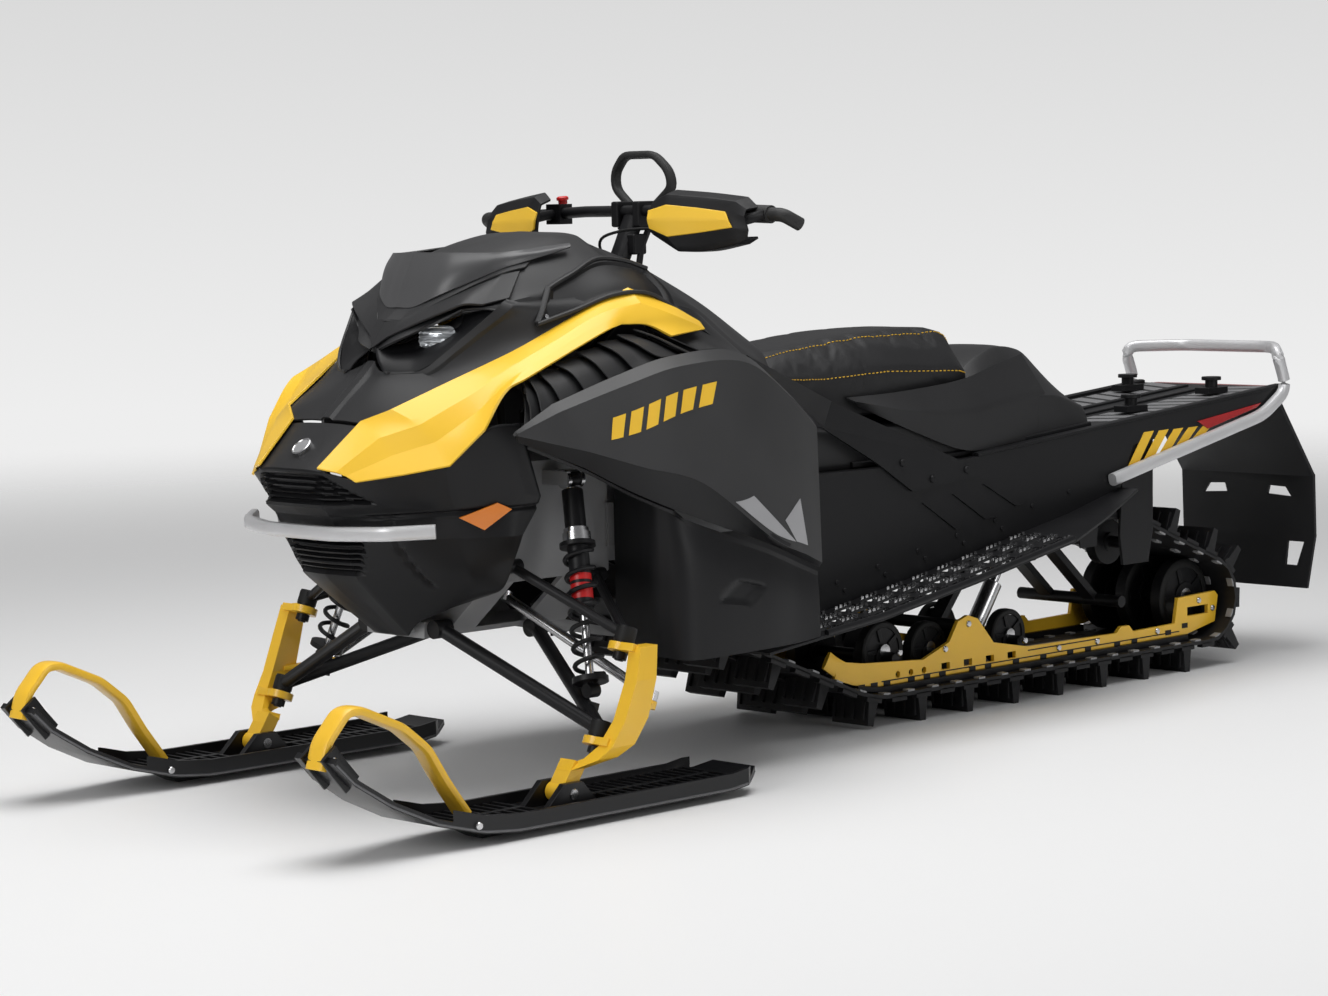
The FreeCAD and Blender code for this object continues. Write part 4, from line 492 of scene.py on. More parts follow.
# Front suspension: arms of welded steel tube with round joints, gas shocks with bright ends, a red band
# and an adjuster collar, and black coil springs.
shock_low, shock_high = np.array([-130, 385, 209.0]), np.array([-205, 262, 577.0])
shock_line = unit(shock_high - shock_low)
dressed("lower_arms", black_coat, 0.002)
dressed("upper_arms", black_coat, 0.001)
dressed("front_shocks", dark_plastic, 0.001)
red_print = sprayed("red_print", (0.55, 0.012, 0.012), 0.35)
turns, wire, spring_radius = 7.0, 9.0, 25.5
share = np.linspace(0, 1, 169)
level = unit(np.cross(shock_line, (0, 0, 1)))
coils, bright, bands = [], [], []
for side in (-1, 1):
    flip = np.array([1, side, 1])
    turn = 2 * np.pi * turns * share[:, None]
    helix = (shock_low + shock_line * (30 + 230 * share[:, None]) + spring_radius
             * (level * np.cos(turn) + np.cross(shock_line, level) * np.sin(turn)))
    coils.append(swept(helix * flip, wire, wire, up=shock_line * flip, steps=8))
    for start, end, radius in ((25, 150, 7.6), (275, 292, 26), (292, 300, 23), (366, 376, 16.5)):
        bright.append(spun([(0, start), (radius, start), (radius, end), (0, end)], shock_low * flip,
                           shock_line * flip, 24))
    for start, end in ((168, 196), (202, 214)):
        bands.append(spun([(19.9, start), (19.9, end)], shock_low * flip, shock_line * flip, 24))
    for x in (-221, -189):
        bright.append(spun([(0, -4), (17, -4), (17, 4), (0, 4)], (x, side * 262, 577), (1, 0, 0), 20))
built("front_coils", coils, black_coat, replaces=("front_springs",))
built("shock_bright", bright, bare_steel)
built("shock_bands", bands, red_print)

# Steered legs of forged aluminium, painted yellow, with rubber boots over their ball joints, bright pins
# and steel tie rods.
pin_low, pin_high = np.array([-84, 456, 152.0]), np.array([-150, 456, 312.0])
pin_line = unit(pin_high - pin_low)
for side, label in sides:
    flip = np.array([1, side, 1])
    dressed("spindle_" + label, yellow_paint, 0.003, 25)
    dressed("tie_rod_" + label, bare_steel, 0.0005)
    cups = [spun([(11, -14), (19, -12), (19, 12), (11, 14)], centre * flip, pin_line * flip, 20)
            for centre in (pin_low, pin_high)]
    built("ball_cups_" + label, cups, wheel_rubber)
    heads("ski_bolt_" + label, [(0, side * 476, 50), (0, side * 404, 50)], (0, side, 0), 10, bare_steel, 4,
          "ski_" + label)

# Skis of black slippery plastic: cross ribs between raised lips, a glossy grey wear line along the lower
# edge, and a yellow hand loop bolted to the tip.
ski_plastic = sprayed("ski_plastic", (0.008, 0.008, 0.009), 0.34, grain=1500.0, bump=0.05, shine=0.35)
ski_edge = sprayed("ski_edge", (0.10, 0.10, 0.105), 0.25, coat=0.3)
ski_centre = 440.0
ski_line = np.array([(-433, 34), (-400, 22), (-340, 14), (170, 14), (250, 22), (340, 46), (430, 88),
                     (500, 134), (538, 174)])
ski_plan = np.array([(-433, 52), (-380, 88), (230, 88), (430, 66), (540, 52)])
rib_x = np.concatenate([np.arange(-370, -70, 22), np.arange(92, 250, 22)])
line_x = np.linspace(-425, 534, 60)


def rounded(points, radius=30.0, steps=5):
    """A path through corner points with each corner cut by a curve, (1-t)^2 a + 2 t (1-t) b + t^2 c."""
    points = np.array(points, float)
    path = [points[0]]
    for before, corner, after in zip(points, points[1:], points[2:]):
        start = corner + unit(before - corner) * min(radius, np.linalg.norm(before - corner) * 0.48)
        end = corner + unit(after - corner) * min(radius, np.linalg.norm(after - corner) * 0.48)
        share = np.linspace(0, 1, steps)[:, None]
        path += list((1 - share) ** 2 * start + 2 * share * (1 - share) * corner + share ** 2 * end)
    return np.array(path + [points[-1]])


for side, label in sides:
    body = "ski_" + label
    dressed("ski_" + label, ski_plastic, 0.002)
    centre = side * ski_centre
    hand = rounded([(x, centre, z) for x, z in ((536, 160), (522, 204), (480, 249), (452, 250), (362, 210),
                                                (310, 168), (272, 108), (226, 46))], 12, 5)
    loop = [swept(hand, 17, 44, up=(0, 1, 0), power=4.0, steps=20)]
    built("loop_" + label, loop, yellow_paint, body, slot="yellow_metal", replaces=("ski_loop_" + label,))
    lugs = [swept([(x, centre + way * 28, z) for x, z in ((484, 132), (512, 164), (532, 190))],
                  38, 8, up=(0, 1, 0), power=5) for way in (-1, 1)]
    built("ski_lugs_" + label, lugs, ski_plastic, body)
    ribs = boxes(np.c_[rib_x, np.full(len(rib_x), centre), np.full(len(rib_x), 31)], (6, 150, 13))
    spine = boxes([(-215, centre, 30), (170, centre, 30)], [(290, 12, 16), (160, 12, 16)])
    built("ski_ribs_" + label, [block_part(np.concatenate([ribs, spine]))], ski_plastic, body, edge=0.001)
    height = np.interp(line_x, ski_line[:, 0], ski_line[:, 1])
    reach = np.interp(line_x, ski_plan[:, 0], ski_plan[:, 1])
    edges = [swept(np.c_[line_x, centre + way * (reach - 1), height + 4], 5, 5) for way in (-1, 1)]
    built("ski_edge_" + label, edges, ski_edge, body)
    for way in (-1, 1):
        spots = [(262, centre + way * 86, 38), (524, centre + way * 32, 176)]
        heads("ski_screws_" + label + str(way), spots, (0, way, 0), 7, bare_steel, 5, body)

# Fuel tank and tail cowl: blow-moulded plastic shells with soft shoulders, screwed down on the tunnel
# through a lip of dark plastic along each side.
body_plastic = sprayed("body_plastic", (0.021, 0.021, 0.022), 0.44, grain=1500.0, bump=0.10, shine=0.3)


def flow(count, steps, creases=()):
    """Blend weights of a smooth line through its stations, one row per step: cubic between stations, with
    the mean slope of its neighbours at each station and an own slope on each side of a crease."""
    slopes = np.zeros((2, count, count))
    for at in range(count):
        before, after = max(at - 1, 0), min(at + 1, count - 1)
        gap = max(after - before, 1)
        slopes[:, at, after] += 1 / gap
        slopes[:, at, before] -= 1 / gap
        if at in creases and 0 < at < count - 1:
            slopes[:, at] = 0
            slopes[0, at, at], slopes[0, at, at - 1] = 1, -1
            slopes[1, at, at + 1], slopes[1, at, at] = 1, -1
    share = np.linspace(0, count - 1, steps * (count - 1) + 1)
    span = np.minimum(share.astype(int), count - 2)
    t = (share - span)[:, None]
    own = np.eye(count)
    return ((2 * t ** 3 - 3 * t ** 2 + 1) * own[span] + (3 * t ** 2 - 2 * t ** 3) * own[span + 1]
            + (t ** 3 - 2 * t ** 2 + t) * slopes[1, span] + (t ** 3 - t ** 2) * slopes[0, span + 1])


def skin_points(rows, steps=(8, 8), creases=((), ())):
    """Points of a sheet through a net of stations: blend weights across the rows, then along them."""
    net = at_mm(rows)
    across = flow(net.shape[0], steps[0], creases[0])
    along = flow(net.shape[1], steps[1], creases[1])
    return np.einsum("ur,rcx,vc->uvx", across, net, along)


def mirror_side(points):
    """The same grid on the other side of the machine."""
    return points * (1, -1, 1)


def whole(half):
    """Both sides of the machine as one grid, from a half whose first column lies on the centre plane."""
    return np.concatenate([mirror_side(half)[:, ::-1][:, :-1], half], axis=1)


def panel(name, points, material, slot="", thick=3.0, edge=1.2, replaces=(), body="chassis", sharp=28.0):
    """A moulded sheet: the grid's surface outside, a wall of its thickness inwards, and rounded edges."""
    mesh = faced_out(name, points, machine_core)
    piece = piece_of(name, mesh, material, body, slot, sharp, replaces=replaces)
    wall = piece.modifiers.new("wall", "SOLIDIFY")
    wall.thickness = thick / 1000
    wall.offset = -1
    if edge:
        soften(piece, edge / 1000, 40)
    return piece


def shell_over(stations):
    """A closed shell over the tunnel: at each station (forward; half widths at foot, belly and top; heights
    of foot, belly and top) a half profile with rounded shoulders, and an end that closes down to the deck."""
    rows = []
    for x, foot, belly, top, low, mid, high in stations:
        rows.append([(x, 0, high + 3), (x, top * 0.6, high + 2), (x, top, high - 2), (x, top + 12, high - 9),
                     (x, belly - 6, mid + 10), (x, belly, mid), (x, foot, low)])
    return whole(skin_points(rows, (8, 6), ((), (2, 4))))


tank_stations = [(-480, 180, 190, 120, 531, 660, 756), (-700, 180, 200, 120, 531, 650, 776),
                 (-836, 176, 180, 90, 531, 620, 698), (-1000, 172, 174, 110, 531, 600, 627),
                 (-1361, 170, 172, 110, 531, 600, 625), (-1440, 170, 172, 110, 537, 600, 624)]
panel("tank_shell", shell_over(tank_stations), body_plastic, thick=3, edge=0, replaces=("fuel_tank",),
      sharp=35)
tail_stations = [(-1446, 168, 172, 96, 538, 640, 700), (-1500, 170, 173, 92, 542, 640, 728),
                 (-1572, 172, 172, 84, 548, 640, 747), (-1640, 172, 171, 78, 553, 636, 744),
                 (-1700, 172, 168, 70, 558, 630, 724), (-1770, 168, 158, 62, 564, 610, 664),
                 (-1800, 164, 152, 60, 567, 600, 632), (-1806, 158, 146, 56, 567, 590, 600)]
panel("tail_shell", shell_over(tail_stations), body_plastic, thick=3, edge=0, replaces=("rear_cowl",),
      sharp=35)
lip_x = np.linspace(-1040, -1790, 30)
for side, label in sides:
    path = np.c_[lip_x, np.full(30, side * 174.0), deck_height(lip_x) + 8]
    built("cowl_lip_" + label, [swept(path, 10, 12, power=4)], dark_plastic)

# Tail fairings: a moulded plastic wedge on each side that runs forward from the tail cowl, under the
# seat's edge, and is screwed to the tunnel.


def sides_of(half):
    """The two sides of a grid that doesn't reach the centre plane, by the side's name."""
    return {"left": half, "right": mirror_side(half)}


fairing = skin_points([
    [(-1056, 150, 672), (-1200, 160, 676), (-1380, 165, 690), (-1500, 158, 716), (-1610, 138, 733)],
    [(-1064, 168, 664), (-1220, 184, 636), (-1380, 191, 628), (-1500, 187, 642), (-1650, 168, 650)],
    [(-1076, 160, 654), (-1230, 183, 590), (-1375, 190, 545), (-1520, 184, 550), (-1664, 168, 558)],
], (8, 8), ((1,), ()))
for side, points in sides_of(fairing).items():
    panel("tail_fairing_" + side, points, body_plastic, thick=4, edge=1.5)

# Seat: foam under a stretched vinyl cover, with two sewn seams of yellow thread along its top edges. The
# cover swells a little between its edges, which a short cloth simulation makes.
vinyl = sprayed("vinyl", (0.015, 0.015, 0.016), 0.52, grain=700.0, bump=0.35, shine=0.3)
thread = sprayed("thread", (0.62, 0.36, 0.02), 0.6)
seat_stations = [(-842, 108, 120, 84, 705, 722, 752), (-860, 118, 130, 88, 690, 720, 760),
                 (-1000, 138, 147, 101, 634, 714, 777), (-1180, 144, 149, 103, 634, 720, 792),
                 (-1380, 144, 147, 98, 634, 712, 792), (-1420, 140, 145, 96, 638, 706, 776),
                 (-1436, 134, 140, 90, 642, 700, 752)]
seat_rows = [[(x, 0, high), (x, top * 0.7, high), (x, top, high - 3), (x, belly, mid), (x, foot, low),
              (x, 0, low)] for x, foot, belly, top, low, mid, high in seat_stations]
seat_grid = whole(skin_points(seat_rows, (6, 5), ((), (2, 3, 4))))
ends = [np.repeat(seat_grid[at].mean(0)[None, None], seat_grid.shape[1], 1) for at in (0, -1)]
seat_core = at_mm((-1150, 0, 700)).tolist()
seat_mesh = faced_out("seat_cover", np.concatenate([ends[0], seat_grid, ends[1]]), seat_core)
seat = piece_of("seat_cover", seat_mesh, vinyl, sharp=180, slot="seat_cover", replaces=("seat",))
voxels = seat.modifiers.new("voxels", "REMESH")
voxels.mode = "VOXEL"
voxels.voxel_size = 0.006
voxels.use_smooth_shade = True


def applied(piece):
    """The piece's mesh with its modifiers worked in."""
    shape = bpy.data.meshes.new_from_object(piece.evaluated_get(bpy.context.evaluated_depsgraph_get()))
    piece.modifiers.clear()
    piece.data = shape


def points_of(mesh):
    """The mesh's vertices as an array."""
    found = np.empty(len(mesh.vertices) * 3)
    mesh.vertices.foreach_get("co", found)
    return found.reshape(-1, 3)


skirt_height, most_swell = 0.640, 0.006
bpy.context.view_layer.update()
applied(seat)
still = points_of(seat.data)
swell = seat.modifiers.new("swell", "CLOTH")
swell.settings.use_pressure = True
swell.settings.uniform_pressure_force = 4
swell.settings.effector_weights.gravity = 0
swell.settings.tension_stiffness = 40
swell.settings.compression_stiffness = 40
swell.point_cache.frame_end = 20
for number in range(1, 21):
    bpy.context.scene.frame_set(number)
bpy.context.view_layer.update()
applied(seat)
moved = points_of(seat.data) - still
reach = np.linalg.norm(moved, axis=1, keepdims=True)
loose = np.clip((still[:, 2:] - skirt_height) / 0.06, 0, 1)
held = still + moved * np.minimum(1, most_swell / np.maximum(reach, 1e-9)) * loose
seat.data.vertices.foreach_set("co", held.ravel())
bpy.context.scene.frame_set(1)
seat.data.materials.clear()
seat.data.materials.append(vinyl)
seat.data.polygons.foreach_set("use_smooth", np.ones(len(seat.data.polygons), bool))


def stations_of(places):
    """Stations in mm of places in metres: the place by 1000, less the ski bolts' own place."""
    return np.array(places) * 1000 - (bolt_x, 0, 0)


def on_surface(mesh, places, lift):
    """Places moved to the nearest point of a mesh and lifted off it by mm, as an array in mm."""
    work = bmesh.new()
    work.from_mesh(mesh)
    tree = BVHTree.FromBMesh(work)
    found = [tree.find_nearest(Vector(place)) for place in at_mm(places)]
    work.free()
    return stations_of([hit[0] + hit[1] * lift / 1000 for hit in found])


seam_lines = [
    [(-852, 88, 756), (-1000, 101, 780), (-1180, 103, 795), (-1380, 98, 795), (-1432, 92, 760)],
    [(-880, 131, 716), (-1000, 148, 712), (-1180, 150, 718), (-1400, 147, 708), (-1430, 142, 702)],
]
stitches = []
for side in (-1, 1):
    for line in seam_lines:
        line = np.array(line, float) * (1, side, 1)
        share = np.linspace(0, len(line) - 1, 400)
        path = np.stack([np.interp(share, np.arange(len(line)), line[:, axis]) for axis in range(3)], 1)
        path = on_surface(seat.data, path, 0.6)
        stitches += [swept(path[at:at + 4], 2.4, 2.4, steps=6) for at in range(0, 396, 6)]
built("seat_seams", stitches, thread)

# Hood: moulded dark panels with a raised spine and a stepped field round the lamps, clipped to the front
# frame. Every panel is a sheet about 4 mm thick, drawn over a few stations.


def pushed(points, depth):
    """The grid moved along its normals by a depth in mm at each point, inwards where it is negative."""
    across, along = np.gradient(points, axis=0), np.gradient(points, axis=1)
    normal = unit(np.cross(across, along))
    out = np.sign(np.einsum("uvx,uvx->uv", normal, points - np.array(machine_core)).mean())
    return points + normal * out * np.asarray(depth)[..., None] / 1000


def shares(points):
    """How far each point of a grid lies across and along it, from 0 to 1."""
    rows, columns = points.shape[:2]
    return np.meshgrid(np.linspace(0, 1, rows), np.linspace(0, 1, columns), indexing="ij")


hood_half = skin_points([
    [(148, 0, 703), (105, 0, 740), (62, 0, 777), (38, 0, 799)],
    [(148, 9, 703), (105, 9, 740), (62, 10, 777), (40, 10, 798)],
    [(147, 17, 698), (106, 18, 735), (63, 20, 770), (46, 20, 790)],
    [(147, 52, 698), (110, 70, 728), (62, 66, 764), (52, 50, 780)],
    [(145, 108, 694), (112, 160, 714), (22, 190, 752), (22, 112, 781)],
], (10, 10), ((1, 2), ()))
panel("hood_front", whole(hood_half.transpose(1, 0, 2)), body_plastic, "dark_plastic", 4,
      replaces=("hood_center",))
cheek = skin_points([
    [(52, 50, 780), (22, 112, 781), (-10, 150, 812), (-54, 180, 856), (-92, 202, 892), (-117, 198, 906)],
    [(50, 60, 774), (14, 126, 776), (-18, 162, 810), (-62, 190, 850), (-104, 212, 884), (-135, 212, 900)],
    [(60, 130, 742), (10, 192, 758), (-85, 234, 800), (-158, 246, 830), (-278, 256, 882),
     (-374, 256, 909)],
], (10, 10), ((1,), ()))
across, along = shares(cheek)
cheek = pushed(cheek, 4 * (across < 0.52) * np.clip(12 * (0.97 - along), 0, 1))
for side, points in sides_of(cheek).items():
    panel("hood_cheek_" + side, points, body_plastic, "dark_plastic", 4)

# Nose: a moulded plate between the coloured leaves, a little lower than them, that clips to the hood. A
# blank metal disc in a turned ring is pressed into it.
nose_half = skin_points([
    [(240, 0, 617), (192, 0, 659), (152, 0, 693)],
    [(238, 50, 617), (191, 50, 658), (152, 52, 692)],
    [(230, 96, 612), (184, 104, 652), (144, 112, 688)],
], (8, 12))
panel("nose_plate", whole(nose_half.transpose(1, 0, 2)), body_plastic, "dark_plastic", 4)
disc_place, disc_line = (203, 0, 651), (0.655, 0, 0.757)
disc = [spun([(0, -1), (20, -1), (20, 5.2), (17.5, 6.2), (16, 4.6)], disc_place, disc_line, 40)]
built("nose_ring", disc, bare_steel)
disc = [spun([(16.2, 4.0), (16.2, 4.8), (6, 5.4), (0, 5.4)], disc_place, disc_line, 40)]
built("nose_disc", disc, grey_coat)

# Coloured panels: yellow moulded leaves that sit 3 mm proud of the dark hood. A ridge and a valley run
# along each, and the field below the valley turns under.
yellow_plastic = sprayed("yellow_plastic", (0.90, 0.55, 0.035), 0.36, coat=0.15, bump=0.02, speckle=0.02)
leaf = skin_points([
    [(238, 84, 620), (147, 98, 698), (117, 148, 719), (16, 188, 763), (-83, 228, 806), (-156, 239, 836),
     (-276, 249, 889), (-368, 249, 917), (-440, 274, 887), (-503, 298, 850)],
    [(222, 118, 613), (152, 156, 670), (100, 206, 692), (10, 250, 744), (-68, 276, 791), (-153, 284, 828),
     (-268, 287, 874), (-364, 287, 889), (-434, 306, 863), (-503, 312, 836)],
    [(211, 132, 606), (145, 182, 640), (88, 234, 662), (22, 272, 712), (-36, 294, 764), (-104, 301, 798),
     (-251, 301, 856), (-332, 296, 871), (-398, 306, 857), (-453, 319, 832)],
    [(204, 150, 596), (148, 214, 608), (92, 274, 622), (40, 310, 683), (-8, 312, 747), (-60, 316, 770),
     (-236, 314, 838), (-300, 304, 854), (-362, 306, 850), (-404, 326, 828)],
], (8, 10), ((1, 2), (1, 2, 3, 7)))
for side, points in sides_of(pushed(leaf, 2)).items():
    panel("leaf_" + side, points, yellow_plastic, "yellow_panel", 5, 1.5, replaces=("colour_panel_" + side,),
          sharp=12)

# Lamps: a dark moulded bowl under the brow on each side, with a faceted lens finished in bright coated
# metal, bolted to the hood from inside.
lamp_black = sprayed("lamp_black", (0.007, 0.007, 0.008), 0.45, bump=0.0, shine=0.25)
bowl = skin_points([
    [(36, 6, 822), (6, 76, 858), (-42, 158, 894), (-110, 194, 902)],
    [(50, 30, 800), (12, 106, 822), (-28, 160, 850), (-104, 200, 898)],
    [(54, 48, 781), (22, 112, 782), (-30, 166, 832), (-92, 204, 892)],
], (10, 14))
across, along = shares(bowl)
sunk = -42 * np.clip(1.25 * (1 - across), 0, 1) ** 1.3
sunk = sunk * np.clip(4 * along, 0, 1) * np.clip(3 * (1 - along), 0, 1)
for side, points in sides_of(pushed(bowl, sunk)).items():
    panel("lamp_bowl_" + side, points, lamp_black, "dark_plastic", 2, 0)
lens_metal = sprayed("lens_metal", (0.42, 0.44, 0.46), 0.16, metal=0.6, coat=1.0, bump=0.0)


def lens_points(centre, ahead, wide, high, deep):
    """A lamp: rings of a rounded oblong, radius 1 / (|cos|^4 + |sin|^4)^(1/4), that swell forward by
    deep * (1 - ring^2) and step back at two ribs."""
    ahead = unit(ahead)
    sideways = unit(np.cross((0, 0, 1), ahead))
    upward = np.cross(ahead, sideways)
    ring, turn = np.meshgrid(np.linspace(0.02, 1, 14), np.linspace(0, 2 * np.pi, 49), indexing="ij")
    reach = ring / (np.abs(np.cos(turn)) ** 4 + np.abs(np.sin(turn)) ** 4) ** 0.25
    across, up = reach * np.cos(turn) * wide / 2, reach * np.sin(turn) * high / 2
    swell = deep * (1 - ring ** 2) + 1.6 * (np.mod(up + 100, 9) < 4.5)
    return at_mm(np.array(centre)) + (across[..., None] * sideways + up[..., None] * upward
                                      + swell[..., None] * ahead) / 1000


for side, points in sides_of(lens_points((-32, 102, 840), (0.86, 0.5, 0.06), 70, 42, 7)).items():
    lens_mesh = faced_out("lamp_lens_" + side, points, machine_core)
    piece_of("lamp_lens_" + side, lens_mesh, lens_metal, slot="lamp_lens",
             replaces=("headlamps",) if side == "left" else ())

# Dash cowl: the dark shell behind the shield, up over the dash and down to the tank. On each side lies an
# intake panel with a raised border and one screw.
cowl_half = skin_points([
    [(34, 0, 815), (-28, 0, 880), (-90, 0, 950), (-190, 0, 996), (-300, 0, 1022), (-372, 0, 1022),
     (-396, 0, 1000), (-440, 0, 992), (-540, 0, 960), (-690, 0, 903), (-830, 0, 810)],
    [(30, 46, 832), (-30, 60, 880), (-104, 90, 944), (-190, 96, 988), (-300, 90, 1016), (-376, 84, 1018),
     (-400, 84, 996), (-440, 88, 986), (-540, 92, 952), (-690, 100, 880), (-832, 80, 800)],
    [(0, 84, 852), (-44, 120, 884), (-128, 152, 938), (-200, 158, 964), (-310, 142, 990), (-380, 128, 1000),
     (-406, 130, 986), (-446, 138, 974), (-540, 150, 930), (-690, 160, 842), (-832, 130, 778)],
    [(-44, 156, 890), (-86, 188, 894), (-160, 206, 908), (-240, 216, 918), (-330, 224, 930),
     (-390, 226, 930), (-420, 230, 924), (-460, 236, 910), (-560, 240, 868), (-684, 218, 796),
     (-832, 154, 744)],
    [(-100, 200, 886), (-120, 214, 878), (-180, 226, 870), (-270, 244, 880), (-370, 252, 908),
     (-410, 262, 894), (-440, 276, 880), (-500, 290, 846), (-560, 296, 806), (-680, 262, 736),
     (-832, 168, 706)],
], (9, 8), ((3,), (5, 6)))
panel("cowl", whole(cowl_half.transpose(1, 0, 2)), body_plastic, "dark_plastic", 4, replaces=("dash_cowl",))
intake = skin_points([
    [(-206, 207, 919), (-262, 206, 942), (-338, 190, 966), (-400, 196, 962), (-452, 206, 946)],
    [(-180, 222, 886), (-258, 230, 910), (-340, 234, 930), (-410, 240, 926), (-470, 246, 902)],
    [(-156, 232, 856), (-236, 246, 878), (-322, 254, 902), (-400, 262, 902), (-462, 272, 870)],
], (12, 10))
across, along = shares(intake)
rim = np.minimum(np.minimum(across, 1 - across) * 3.2, np.minimum(along, 1 - along) * 6)
for side, points in sides_of(pushed(intake, 7 - 6 * np.clip((rim - 0.25) * 6, 0, 1))).items():
    panel("intake_" + side, points, dark_plastic, thick=8, edge=1)
raised = pushed(intake, 7)
outline = stations_of(np.concatenate([raised[-1, ::-1], raised[-2::-1, 0], raised[0, 1:]]))
for side, label in sides:
    built("intake_border_" + label, [swept(outline * (1, side, 1), 12, 8, power=4.0)], body_plastic)
for side in (-1, 1):
    heads("intake_screw" + str(side), [(-178, side * 234, 871)], (0.2, side, 0.4), 5, bare_steel, 6)

# Brow and lower band: two stepped layers of moulded plastic that wrap round the front under the shield
# and carry its screws.
brow_half = skin_points([
    [(2, 0, 874), (-4, 34, 873), (-38, 72, 895), (-68, 105, 913), (-104, 136, 933), (-139, 162, 951),
     (-175, 172, 956)],
    [(40, 0, 822), (22, 24, 842), (-4, 84, 869), (-28, 132, 889), (-46, 160, 900), (-72, 182, 898),
     (-122, 200, 908)],
], (10, 8), ((), (1, 5)))
panel("brow", whole(brow_half), body_plastic, "dark_plastic", 5, 1.6)
band_half = skin_points([
    [(-28, 0, 893), (-34, 34, 894), (-54, 76, 910), (-76, 104, 924), (-112, 128, 943), (-162, 148, 961),
     (-215, 156, 972)],
    [(6, 0, 868), (-4, 33, 868), (-34, 70, 890), (-66, 104, 911), (-102, 136, 933), (-138, 163, 951),
     (-190, 168, 960)],
], (6, 8), ((), (1,)))
panel("shield_band", whole(pushed(band_half, 2)), body_plastic, "dark_plastic", 4, 1.2)

# Windshield: a low satin sheet of smoked plastic, heat formed, that wraps from the dash round the front
# to the other side and is held by the band below it.
smoke = sprayed("smoke", (0.066, 0.066, 0.068), 0.34, coat=0.1, bump=0.0, grain=200.0, shine=0.5)
shield_half = skin_points([
    [(-74, 0, 990), (-82, 40, 989), (-98, 88, 988), (-134, 128, 987), (-192, 142, 988), (-255, 141, 992),
     (-318, 147, 997)],
    [(-50, 0, 944), (-58, 42, 944), (-78, 92, 955), (-118, 130, 967), (-178, 150, 978), (-244, 155, 986),
     (-314, 154, 995)],
    [(-26, 0, 891), (-34, 38, 892), (-58, 84, 914), (-100, 122, 938), (-158, 148, 961), (-230, 158, 976),
     (-308, 158, 991)],
], (8, 8), ((), ()))
panel("shield", whole(pushed(shield_half, 5)), smoke, "shield_smoke", 3, 0.8, replaces=("windshield",))

# Nose fascia: the moulded lower front with two slatted air inlets, one above and one below the bumper,
# and an amber reflector on each flank.
fascia_half = skin_points([
    [(240, 0, 616), (238, 46, 616), (233, 86, 614), (204, 146, 600), (148, 210, 606), (92, 268, 620),
     (30, 306, 684), (-34, 322, 690)],
    [(230, 0, 548), (228, 44, 548), (226, 82, 548), (150, 166, 546), (108, 212, 545), (62, 252, 543),
     (-38, 298, 560), (-98, 299, 556)],
    [(212, 0, 532), (211, 44, 532), (208, 80, 532), (146, 160, 530), (104, 206, 528), (56, 246, 524),
     (-34, 292, 536), (-92, 294, 534)],
    [(186, 0, 490), (186, 42, 490), (184, 80, 490), (138, 160, 490), (95, 206, 490), (48, 246, 490),
     (-20, 290, 489), (-56, 296, 490)],
    [(168, 0, 430), (165, 42, 430), (160, 78, 430), (100, 148, 430), (62, 194, 430), (18, 232, 430),
     (-40, 268, 446), (-56, 276, 452)],
    [(122, 0, 382), (119, 36, 382), (112, 70, 382), (58, 134, 384), (26, 172, 386), (-8, 206, 388),
     (-38, 246, 392), (-46, 252, 394)],
    [(14, 0, 296), (14, 26, 295), (12, 50, 296), (20, 86, 322), (8, 118, 337), (-6, 150, 352),
     (-40, 200, 372), (-48, 205, 374)],
], (24, 10), ((1, 2, 3), (2, 5)))
fascia = whole(fascia_half)
up, out = fascia[..., 2] * 1000, np.abs(fascia[..., 1]) * 1000
upper_half = 92 + (606 - up) * 1.25


def inlet(up, out, low, high, half, pitch):
    """Depth of an inlet in mm: sunk by 10 behind its rim, with slats that are a rounded square wave of the
    height, and zero outside its field."""
    wave = np.clip(0.5 + 2.2 * np.sin(2 * np.pi * (up - low) / pitch), 0, 1)
    edge = np.clip((up - low) / 4, 0, 1) * np.clip((high - up) / 4, 0, 1) * np.clip((half - out) / 6, 0, 1)
    return -(6 + 9 * wave) * edge


groove = -5 * np.exp(-((up - 533 - (out - 200) * 0.06) / 3.5) ** 2) * np.clip((out - 120) / 20, 0, 1)
groove -= 5 * np.exp(-((out - 165) / 4) ** 2) * np.clip((528 - up) / 8, 0, 1) * np.clip((up - 392) / 8, 0, 1)
inlets = inlet(up, out, 554, 609, upper_half, 11.0) + inlet(up, out, 420, 486, 90 + (up - 420) * 0.4, 11.0)
panel("fascia", pushed(fascia, inlets + groove), dark_plastic, "dark_plastic", 4, 0,
      replaces=("nose_fascia",), sharp=24)
amber = sprayed("amber", (0.72, 0.20, 0.012), 0.15, coat=0.5, bump=0.0)
dressed("side_reflectors", amber, 0.0008)

# Vent louvres: overlapping slats of black plastic, moulded in one strip that is clipped in under the
# coloured panel, with a closed bed behind them.
slats = skin_points([
    [(-64, 294, 760), (-120, 294, 774), (-213, 296, 804), (-300, 294, 826), (-376, 290, 830),
     (-500, 258, 784)],
    [(-44, 324, 724), (-90, 326, 742), (-180, 328, 772), (-280, 328, 798), (-372, 324, 814),
     (-520, 296, 778)],
    [(-20, 348, 684), (-50, 350, 696), (-144, 352, 722), (-255, 352, 752), (-366, 350, 786),
     (-540, 330, 766)],
], (6, 24))


